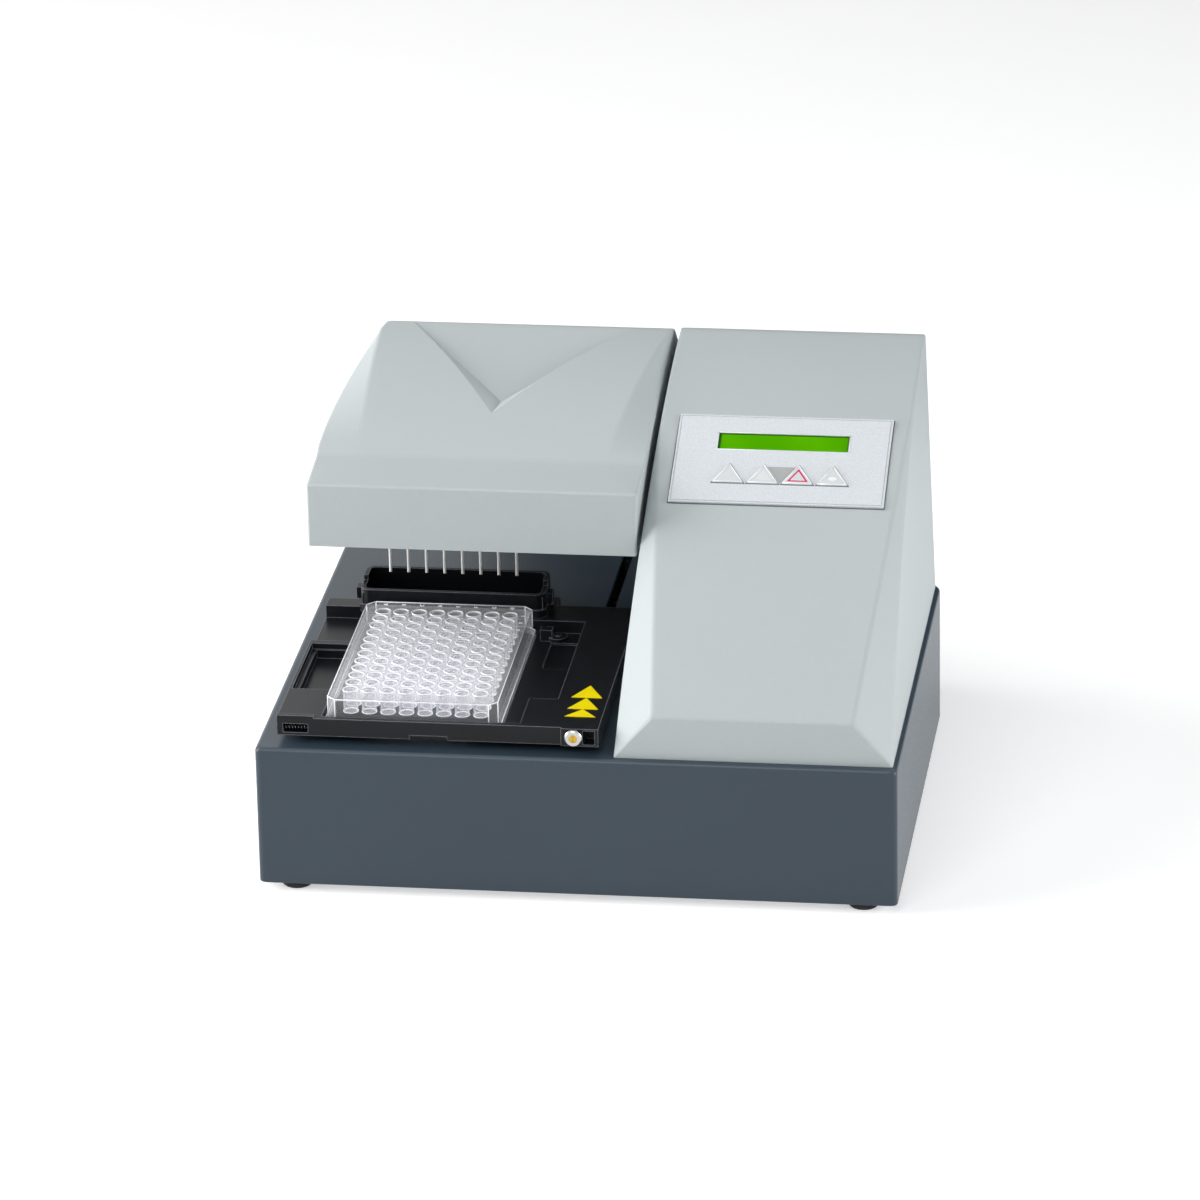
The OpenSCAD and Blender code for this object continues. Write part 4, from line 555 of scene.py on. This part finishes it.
tower = shell("tower_shell", tower_section, TOWER_F, COVER_B, WALL, [1.2, 1.7, 1.7, 1.2],
              spaced([TOWER_F, TOP_Y - 8, TOP_Y + 8, COVER_B], 3.0), cover, "base")
cut(tower, [
    block(-PANEL_W / 2 - 0.2, -PANEL_L / 2 - 0.2, -0.7, PANEL_W / 2 + 0.2, PANEL_L / 2 + 0.2, 12, on_panel),
    block(-PANEL_W / 2 + 3, -PANEL_L / 2 + 3, -20, PANEL_W / 2 - 3, PANEL_L / 2 - 3, 6, on_panel),
    block(TOWER_L - 5, ARM_F, 30, TOWER_L + 15, ARM_B, 61.5),
])
weld(tower)
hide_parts("tower_cover")

head_stations = spaced([HEAD_F, BEVEL_Y, NOTCH_Y, NOTCH_IN_Y, TOP_Y - 8, TOP_Y + 8, COVER_B], 2.5)
head = shell("head_shell", head_section, HEAD_F, COVER_B, WALL, [1.1, 1.5, 0.5, 0.6, 0.6, 0.5, 1.5, 1.1],
             head_stations, cover, "head")
cut(head, [block(HEAD_R - 8, ARM_F, HEAD_Z - 6, HEAD_R + 12, ARM_B, HEAD_Z + 11)])
weld(head)
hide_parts("head_cover")


# The base: a painted box with rounded edges, a clipped rear right corner and a slotted deck

def outline(inset):
    i = inset
    return [(BASE_L + i, BASE_F + i), (BASE_R - i, BASE_F + i), (BASE_R - i, BASE_B - CHAMFER - i * 0.414),
            (BASE_R - CHAMFER - i * 0.414, BASE_B - i), (BASE_L + i, BASE_B - i)]


def rounded_outline(inset, radius, steps=7):
    p = [np.array(q) for q in outline(inset)]
    out = []
    for i in range(len(p)):
        back, on = p[i - 1] - p[i], p[(i + 1) % len(p)] - p[i]
        back, on = back / np.linalg.norm(back), on / np.linalg.norm(on)
        for t in np.linspace(0, 1, steps):
            a, b = p[i] + back * radius, p[i] + on * radius
            out.append((1 - t) ** 2 * a + 2 * t * (1 - t) * p[i] + t * t * b)
    return out


def base_piece():
    r = 2.2
    rings = [(BASE_Z, 0.9), (BASE_Z + 0.35, 0.25), (BASE_Z + 0.9, 0.0), (DECK - 30, 0.0)]
    rings += [(DECK - r - 0.01, 0.0)]
    rings += [(DECK - r + r * math.sin(a), r - r * math.cos(a)) for a in np.radians([0, 18, 36, 54, 72, 90])]
    verts, faces = [], []
    for z, inset in rings:
        verts += [(x, y, z) for x, y in rounded_outline(inset, 3.4)]
    n = len(verts) // len(rings)
    for i in range(len(rings) - 1):
        for j in range(n):
            k = (j + 1) % n
            faces.append((i * n + j, i * n + k, (i + 1) * n + k, (i + 1) * n + j))
    faces.append(list(range(n))[::-1])
    faces.append([(len(rings) - 1) * n + j for j in range(n)])
    return piece("base_shell", verts, faces, slate, "base")


def prism(points, z0, z1):
    n = len(points)
    mesh = bpy.data.meshes.new("cutter")
    mesh.from_pydata([at(x, y, z) for z in (z0, z1) for x, y in points], [],
                     [list(range(n))[::-1], list(range(n, 2 * n))] +
                     [(i, (i + 1) % n, n + (i + 1) % n, n + i) for i in range(n)])
    return put("cutter", mesh)


def oval(cx, cy, a, b, n):
    turns = [2 * math.pi * i / n for i in range(n)]
    return [(cx + a * math.cos(t), cy + b * math.sin(t)) for t in turns]


REAR_L, PANEL_B = PLATE_CX - 23.5, 259.0
base = base_piece()
cut(base, [
    prism(outline(WALL), BASE_Z - 1, DECK - WALL),
    block(SLOT_X - 2.5, SLOT_F, DECK - 4, SLOT_X + 2.5, SLOT_B, DECK + 1),
    block(LIFT_X - 21.5, ARM_Y - 21.5, DECK - 4, LIFT_X + 21.5, ARM_Y + 21.5, DECK + 1),
    prism(oval(BASE_R - 44, 150, 11, 11, 32), DECK - 4, DECK + 1),
    block(REAR_L + 5, PANEL_B - 1, -82, REAR_L + 185, PANEL_B + 4, -38),
])
weld(base)
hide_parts("base_housing")

# The microplate: clear walls and deck; rims, well bottoms and edge beads in a near-white copy of the clear
# plastic, as painted highlights; wells in a greyer copy, as painted shade; plain raised marks

def turned(name, profile, centres, m, body, n=24, closed=False):
    """Copies of one turned profile of (radius, height) points, in one mesh."""
    verts, faces = [], []
    for cx, cy in centres:
        start = len(verts)
        for r, z in profile:
            verts += [(x, y, z) for x, y in oval(cx, cy, r, r, n)]
        k = len(profile)
        for j in range(k if closed else k - 1):
            a, b = start + j * n, start + (j + 1) % k * n
            faces += [(a + i, a + (i + 1) % n, b + (i + 1) % n, b + i) for i in range(n)]
    o = piece(name, verts, faces, m, body)
    tidy_normals(o)
    return o


def tidy_normals(o, merge=1e-7):
    bm = bmesh.new()
    bm.from_mesh(o.data)
    bmesh.ops.remove_doubles(bm, verts=bm.verts, dist=merge)
    bmesh.ops.dissolve_degenerate(bm, edges=bm.edges, dist=merge)
    bmesh.ops.recalc_face_normals(bm, faces=bm.faces)
    bm.to_mesh(o.data)
    bm.free()


def beads(name, runs, radius, m, body, sides=8):
    """Thin round rods along straight runs of points, in one mesh."""
    verts, faces = [], []
    for run in runs:
        p = [np.array(q, float) for q in run]
        start = len(verts)
        for i, q in enumerate(p):
            along = p[min(i + 1, len(p) - 1)] - p[max(i - 1, 0)]
            along /= np.linalg.norm(along)
            side = np.cross(along, (0, 0, 1) if abs(along[2]) < 0.9 else (1, 0, 0))
            side /= np.linalg.norm(side)
            up = np.cross(side, along)
            verts += [tuple(q + radius * (math.cos(a) * side + math.sin(a) * up))
                      for a in np.linspace(0, 2 * math.pi, sides, endpoint=False)]
        for i in range(len(p) - 1):
            a, b = start + i * sides, start + (i + 1) * sides
            faces += [(a + j, a + (j + 1) % sides, b + (j + 1) % sides, b + j) for j in range(sides)]
        faces.append([start + j for j in range(sides)][::-1])
        faces.append([start + (len(p) - 1) * sides + j for j in range(sides)])
    o = piece(name, verts, faces, m, body)
    tidy_normals(o)
    return o


def plate_ring(inset, c=4.0):
    """Outline of the plate with four clipped corners."""
    w, d = PLATE_W / 2 - inset, PLATE_D / 2 - inset
    p = [(-w + c, -d), (w - c, -d), (w, -d + c), (w, d - c)]
    p += [(-x, -y) for x, y in p]
    return [(PLATE_CX + x, PLATE_CY + y) for x, y in p]


def plate_case():
    """Deck, walls and stepped skirt of the plate: a thin case, open below, with the wells' holes."""
    levels = [(-PLATE_H, 0.9), (-PLATE_H, 0.0), (-PLATE_H + 3, 0.0), (-PLATE_H + 3.2, 1.3)]
    levels += [(-0.15, 1.4), (0, 1.55)]
    inner = [(-1.3, 2.3), (-PLATE_H + 3.6, 2.2), (-PLATE_H + 2.3, 0.9)]
    verts, faces = [], []
    for z, inset in levels:
        verts += [(x, y, z) for x, y in plate_ring(inset)]
    for i in range(len(levels) - 1):
        for j in range(8):
            k = (j + 1) % 8
            faces.append((i * 8 + j, i * 8 + k, i * 8 + 8 + k, i * 8 + 8 + j))
    start = len(verts)
    for z, inset in inner:
        verts += [(x, y, z) for x, y in plate_ring(inset)]
    for i in range(len(inner) - 1):
        for j in range(8):
            k = (j + 1) % 8
            a = start + i * 8
            faces.append((a + j, a + k, a + 8 + k, a + 8 + j))
    for j in range(8):
        k = (j + 1) % 8
        faces.append((j, start + 16 + j, start + 16 + k, k))
    # The deck: one face above and one below, each with a round hole for every well
    n = 24
    half = PITCH / 2
    for z, frame_ring in ((0.0, list(range(40, 48))), (-1.3, list(range(start, start + 8)))):
        grid = len(verts)
        for j in range(13):
            for i in range(9):
                verts.append((i * PITCH - half, j * PITCH - half, z))
        for j in range(12):
            for i in range(8):
                hole = len(verts)
                cx, cy = i * PITCH, j * PITCH
                turns = [2 * math.pi * (k + 0.5) / n - 0.75 * math.pi for k in range(n)]
                verts += [(cx + WELL_R * math.cos(t), cy + WELL_R * math.sin(t), z) for t in turns]
                corner = grid + j * 9 + i
                corners = [corner, corner + 1, corner + 10, corner + 9]
                for q in range(4):
                    a, b = corners[q], corners[(q + 1) % 4]
                    arc = [hole + (q * 6 + k) % n for k in range(6)]
                    faces.append([a, b] + arc[::-1])
                    faces.append([b, hole + (q * 6 + 6) % n, arc[-1]])
        edge = ([grid + i for i in range(8)] + [grid + j * 9 + 8 for j in range(12)] +
                [grid + 12 * 9 + i for i in range(8, 0, -1)] + [grid + j * 9 for j in range(12, 0, -1)])
        ends = [0, 8, 20, 28, 40]
        legs = [[edge[i % 40] for i in range(ends[q], ends[q + 1] + 1)] for q in range(4)]
        # Four sides of the frame between the grid and the outline, and four clipped corners
        sides = [(frame_ring[2 * q], frame_ring[2 * q + 1]) for q in range(4)]
        for q in range(4):
            faces.append([sides[q][0], sides[q][1]] + legs[q][::-1])
            faces.append([sides[q][1], sides[(q + 1) % 4][0], legs[q][-1]])
    o = piece("plate_case", verts, faces, clear, "microplate", smooth=False)
    tidy_normals(o)
    return o


well_centres = [(i * PITCH, j * PITCH) for j in range(12) for i in range(8)]
plate_pieces = [
    plate_case(),
    turned("plate_wells", [(3.62, -0.5), (3.58, -WELL_D + 0.2), (3.3, -WELL_D - 0.45), (1.6, -WELL_D - 0.8),
                           (0.02, -WELL_D - 0.85)], well_centres, clear_well, "microplate"),
    turned("plate_rim_highlights", [(3.34, 0.10), (3.40, 0.42), (3.62, 0.50), (3.86, 0.42), (3.92, 0.10), (3.62, -0.5)],
           well_centres, clear_highlight_white, "microplate", closed=True),
    turned("plate_well_end_highlights", [(3.25, -WELL_D - 0.2), (3.72, -WELL_D + 0.1), (3.78, -WELL_D - 0.3),
                               (3.35, -WELL_D - 0.75)],
           well_centres, clear_highlight_white, "microplate", closed=True),
]


def loop_of(inset, z):
    p = [(x, y, z) for x, y in plate_ring(inset)]
    return [[p[i], p[(i + 1) % 8]] for i in range(8)]


uprights = [[(x, y, -PLATE_H + 3.1), (x, y, -0.2)] for x, y in plate_ring(1.62)]
# pale beads along the plate's edges: painted highlights
plate_pieces.append(beads("plate_edge_highlights", loop_of(1.6, -0.12) + loop_of(0.3, -PLATE_H + 2.95) + uprights, 0.26,
                          clear_highlight_white, "microplate"))
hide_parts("microplate")


def raised(name, words, size, height, turn, m, body):
    """Small plain letters or figures that stand up from a flat face, each at its own place."""
    verts, faces = [], []
    c, s = math.cos(turn), math.sin(turn)
    for text, x, y, z in words:
        curve = bpy.data.curves.new("word", "FONT")
        curve.body = text
        curve.size = size
        curve.extrude = height / 2
        curve.resolution_u = 2
        curve.align_x = "CENTER"
        curve.align_y = "CENTER"
        o = put("word", curve)
        mesh = bpy.data.meshes.new_from_object(o.evaluated_get(bpy.context.evaluated_depsgraph_get()))
        start = len(verts)
        for v in mesh.vertices:
            a, b, h = v.co
            verts.append((x + c * a - s * b, y + s * a + c * b, z + h))
        faces += [[start + i for i in f.vertices] for f in mesh.polygons]
        bpy.data.objects.remove(o)
    o = piece(name, verts, faces, m, body, smooth=False)
    tidy_normals(o)
    return o


marks = [(letter, i * PITCH, PLATE_CY + PLATE_D / 2 - 5.0, 0.08) for i, letter in enumerate("ABCDEFGH")]
marks += [(str(j + 1), PLATE_CX + PLATE_W / 2 - 4.6, (11 - j) * PITCH, 0.08) for j in range(12)]
plate_pieces.append(raised("plate_marks", marks, 3.0, 0.3, math.pi / 2, clear_highlight_white, "microplate"))
for o in plate_pieces:
    o.visible_shadow = False


# Marks on the control panel: a frame around the display, and plain outlines on the keys
PANEL_TOP = 1.3
LCD_W, LCD_H, LCD_V = 64.0, 11.4, PANEL_L / 2 - 17.8
KEY_W, KEY_H, KEY_PITCH, KEY_V = 15.0, 12.6, 16.9, PANEL_L / 2 - 46.5
KEY_U = [(i - 1.5) * KEY_PITCH + 0.75 for i in range(4)]
KEY_TOP = PANEL_TOP + 0.8


def slab(name, outer, inner, top, thick, m, body):
    """A thin flat shape on the panel, with a hole of equally many points or none."""
    n = len(outer)
    rings = [outer, inner] if inner else [outer]
    verts = [on_panel(u, v, w) for r in rings for w in (top, top - thick) for u, v in r]
    faces = []
    for r in range(len(rings)):
        a = r * 2 * n
        faces += [(a + i, a + n + i, a + n + (i + 1) % n, a + (i + 1) % n) for i in range(n)]
    if inner:
        for w in (0, n):
            faces += [(w + i, w + (i + 1) % n, 2 * n + w + (i + 1) % n, 2 * n + w + i) for i in range(n)]
    else:
        faces += [list(range(n)), list(range(n, 2 * n))]
    o = piece(name, verts, faces, m, body, smooth=False)
    tidy_normals(o)
    return o


def key_triangle(i, scale):
    """A key's outline, shrunk towards the middle of its triangle."""
    u, v = KEY_U[i], KEY_V + KEY_H / 3
    p = [(-KEY_W / 2, -KEY_H / 3), (KEY_W / 2, -KEY_H / 3), (0, 2 * KEY_H / 3)]
    return [(u + scale * a, v + scale * b) for a, b in p]


slab("stop_mark", key_triangle(2, 0.67), key_triangle(2, 0.50), KEY_TOP + 0.06, 0.2, magenta, "stop_key")
slab("middle_mark", key_triangle(1, 0.55), None, KEY_TOP + 0.05, 0.2, faint_mat, "middle_key")
slab("right_mark", oval(KEY_U[3] - 0.2, KEY_V + 3.9, 2.1, 1.25, 28), None, KEY_TOP + 0.06, 0.2, white_print_and_highlight,
     "right_key")

KEYS = ("left_key", "middle_key", "stop_key", "right_key")
for i, key in enumerate(KEYS):
    corners = [on_panel(u, v, KEY_TOP - 0.05) for u, v in key_triangle(i, 0.93)]
    sides = [[corners[j], corners[(j + 1) % 3]] for j in range(3)]
    # pale beads along each key's edges: painted highlights
    beads(key + "_edge", sides, 0.32, white_print_and_highlight, key)
    # a flat dark ring around each key: painted shade in the gap
    slab(key + "_gap_painted_shade", key_triangle(i, 1.12), key_triangle(i, 1.02), PANEL_TOP + 0.04, 0.2, gap_shade_mat,
         "base")


def panel_seam_shade():
    """Painted shade: a dark bead along the seam where the panel's edge meets the curved cover, for the shade
    in that gap.
    """
    w, l = PANEL_W / 2 + 0.22, PANEL_L / 2 + 0.22
    side = [(v, SAG * (1 - (2 * v / PANEL_L) ** 2) + 0.12) for v in np.linspace(-l, l, 17)]
    runs = [[on_panel(e * w, v, z) for v, z in side] for e in (-1, 1)]
    runs += [[on_panel(-w, e * l, 0.12), on_panel(w, e * l, 0.12)] for e in (-1, 1)]
    beads("panel_seam_shade", runs, 0.3, gap_shade_mat, "base")


panel_seam_shade()


def display_frame():
    """Painted shadow on the inner edges of the display's opening, darker on the left and top, and the pale
    lip around it, paler than the panel as a painted highlight.
    """
    u, v0, v1 = LCD_W / 2 - 0.12, LCD_V - LCD_H / 2 + 0.12, LCD_V + LCD_H / 2 - 0.12
    top = PANEL_TOP - 0.42
    strips = [
        ("display_left", (-u, v0, -u + 1.2, v1), display_painted_shadow),
        ("display_top", (-u + 1.2, v1 - 0.7, u - 0.8, v1), display_painted_shadow),
        ("display_right", (u - 0.8, v0, u, v1), display_painted_shade),
        ("display_bottom", (-u + 1.2, v0, u - 0.8, v0 + 0.4), display_painted_shade),
    ]
    for name, (a, b, c, d), m in strips:
        slab(name, [(a, b), (c, b), (c, d), (a, d)], None, top, 0.3, m, "base")
    e = 0.25
    p = [(-u - e, v0 - e), (u + e, v0 - e), (u + e, v1 + e), (-u - e, v1 + e)]
    runs = [[on_panel(*p[i], PANEL_TOP), on_panel(*p[(i + 1) % 4], PANEL_TOP)] for i in range(4)]
    beads("display_lip_highlight", runs, 0.3, lip_painted_highlight, "base")


display_frame()

# A small catch spring that lies in the pocket at the left end of the carrier's front
COILS, COIL_R, COIL_W = 7, 1.2, 10.6
steps = 12 * COILS
coil = []
for i in range(steps + 1):
    t = 2 * math.pi * COILS * i / steps
    coil.append((CARRIER_L + 3.6 + COIL_W * i / steps, CARRIER_F + 2.2 + COIL_R * math.cos(t),
                 -13.5 + COIL_R * math.sin(t)))
beads("catch_spring", [coil], 0.22, spring_steel, "carrier", 6)

# Every other CAD node keeps its mesh, with its own finish and softened edges of these widths in millimetres
node_slots = {part["node"]: part["material_slot"] for part in frame["record"]["subparts"]}
soft = {
    "control_panel": 0.25, "plate_carrier": 0.5, "waste_trough": 0.45, "clamp_lever": 0.4, "lock_knob": 0.25,
    "left_key": 0.5, "middle_key": 0.5, "stop_key": 0.5, "right_key": 0.5, "indicator": 0.15,
    "lcd_window": 0.15, "rubber_feet": 0.4, "wash_manifold": 0.6, "head_chassis": 0.4, "lift_arm": 0.6,
    "power_inlet": 0.5, "power_switch": 0.4, "data_port": 0.3, "hose_barbs": 0.15, "stop_pin": 0.3,
}
for name, o in nodes.items():
    if o.hide_render:
        continue
    if name in node_slots and node_slots[name] in finish:
        paint(o, dark_alloy if name in ("lift_arm", "head_chassis") else finish[node_slots[name]])
    w = o.modifiers.new("weld", "WELD")
    w.merge_threshold = 2e-6
    if name == "rear_panel":  # a flat sheet with many holes, which softened edges would streak
        continue
    b = o.modifiers.new("soften", "BEVEL")
    b.width = soft.get(name, 0.3) / 1000
    b.segments = 2
    b.limit_method = "ANGLE"
    b.angle_limit = math.radians(38)
    o.data.polygons.foreach_set("use_smooth", [True] * len(o.data.polygons))
    even = o.modifiers.new("even", "WEIGHTED_NORMAL")
    even.weight = 80


# Camera, floor and lights

FLOOR_LIFT = 0.46  # added to the floor where the background shows, so that it comes out white
WORLD_LIGHT = 0.06  # the world's own light on the object


def aim(o, target):
    d = Vector(target) - o.location
    o.rotation_euler = d.to_track_quat("-Z", "Y").to_euler()


def camera():
    yaw, pitch, roll = (math.radians(v) for v in (7.9499, 22.1123, 1.1095))
    f = Vector((-math.sin(yaw) * math.cos(pitch), math.cos(yaw) * math.cos(pitch), -math.sin(pitch)))
    r0 = Vector((math.cos(yaw), math.sin(yaw), 0))
    d0 = f.cross(r0)
    right = math.cos(roll) * r0 + math.sin(roll) * d0
    down = -math.sin(roll) * r0 + math.cos(roll) * d0
    data = bpy.data.cameras.new("camera")
    data.sensor_width = 36
    data.sensor_fit = "HORIZONTAL"
    data.lens = 214.59
    data.clip_start = 0.1
    data.clip_end = 50
    o = put("camera", data)
    o.matrix_world = Matrix((
        (right.x, -down.x, -f.x, 0.444774),
        (right.y, -down.y, -f.y, -3.23630),
        (right.z, -down.z, -f.z, 1.421889),
        (0, 0, 0, 1)))
    bpy.context.scene.camera = o


def area(name, place, target, size, power, colour=(1, 1, 1)):
    data = bpy.data.lights.new(name, "AREA")
    data.shape = "RECTANGLE"
    data.size, data.size_y = size
    data.energy = power
    data.color = colour
    o = put(name, data)
    o.location = place
    aim(o, target)


def background_rays(tree):
    """1 for the rays that show the background: from the camera, through clear things and off shiny ones."""
    path = tree.nodes.new("ShaderNodeLightPath")
    value = path.outputs["Is Camera Ray"]
    for kind in ("Is Transmission Ray", "Is Glossy Ray"):
        either = tree.nodes.new("ShaderNodeMath")
        either.operation = "MAXIMUM"
        tree.links.new(value, either.inputs[0])
        tree.links.new(path.outputs[kind], either.inputs[1])
        value = either.outputs[0]
    return value


def floor():
    mesh = bpy.data.meshes.new("floor")
    s = 6.0
    mesh.from_pydata([(-s, -s, 0), (s, -s, 0), (s, s, 0), (-s, s, 0)], [], [(0, 1, 2, 3)])
    o = put("floor", mesh)
    m, tree, b = shader("floor_paper", (0.84, 0.84, 0.84), 0.9)
    b.inputs["Specular IOR Level"].default_value = 0.0
    tint(tree, b, noise(tree, 3.0, 2.0), (0.83, 0.83, 0.83), (0.85, 0.85, 0.85))
    lift = tree.nodes.new("ShaderNodeEmission")
    lift.inputs["Color"].default_value = (1, 1, 1, 1)
    tree.links.new(remap(tree, background_rays(tree), 0.0, FLOOR_LIFT, 0.0, 1.0), lift.inputs["Strength"])
    add = tree.nodes.new("ShaderNodeAddShader")
    tree.links.new(b.outputs["BSDF"], add.inputs[0])
    tree.links.new(lift.outputs["Emission"], add.inputs[1])
    tree.links.new(add.outputs["Shader"], tree.nodes["Material Output"].inputs["Surface"])
    o.data.materials.append(m)


def flag():
    """A black card behind the machine, met by reflections only: it keeps the deck dark under the head."""
    mesh = bpy.data.meshes.new("flag")
    left, right, y, low, high = -0.13, 0.5, 0.45, 0.02, 0.42
    mesh.from_pydata([(left, y, low), (right, y, low), (right, y, high), (left, y, high)], [], [(0, 1, 2, 3)])
    o = put("flag", mesh)
    o.visible_camera = o.visible_diffuse = o.visible_shadow = o.visible_transmission = False
    o.data.materials.append(grained("flag_cloth", srgb(10, 10, 10), 0.05, 0.9, 200, 0.0001, specular=0.0))


def world():
    w = bpy.data.worlds.new("studio")
    bpy.context.scene.world = w
    w.use_nodes = True
    tree = w.node_tree
    back = tree.nodes["Background"]
    back.inputs["Color"].default_value = (1, 1, 1, 1)
    tree.links.new(remap(tree, background_rays(tree), WORLD_LIGHT, 1.0, 0.0, 1.0), back.inputs["Strength"])


camera()
floor()
flag()
world()
aim_at = (0, 0, 0.1)
area("left_low", (-1.9, -0.4, 0.6), aim_at, (1.6, 1.0), 34)
area("left_high", (-1.8, 0.0, 1.6), aim_at, (1.4, 1.4), 25)
area("right_low", (1.9, -0.4, 0.6), aim_at, (1.6, 1.0), 29, (0.96, 0.98, 1.0))
area("front_high", (-0.4, -2.2, 1.9), aim_at, (1.6, 1.2), 22)
area("top_soft", (0.0, 0.2, 2.2), aim_at, (2.0, 1.6), 5)
bpy.context.scene.view_settings.view_transform = "Standard"
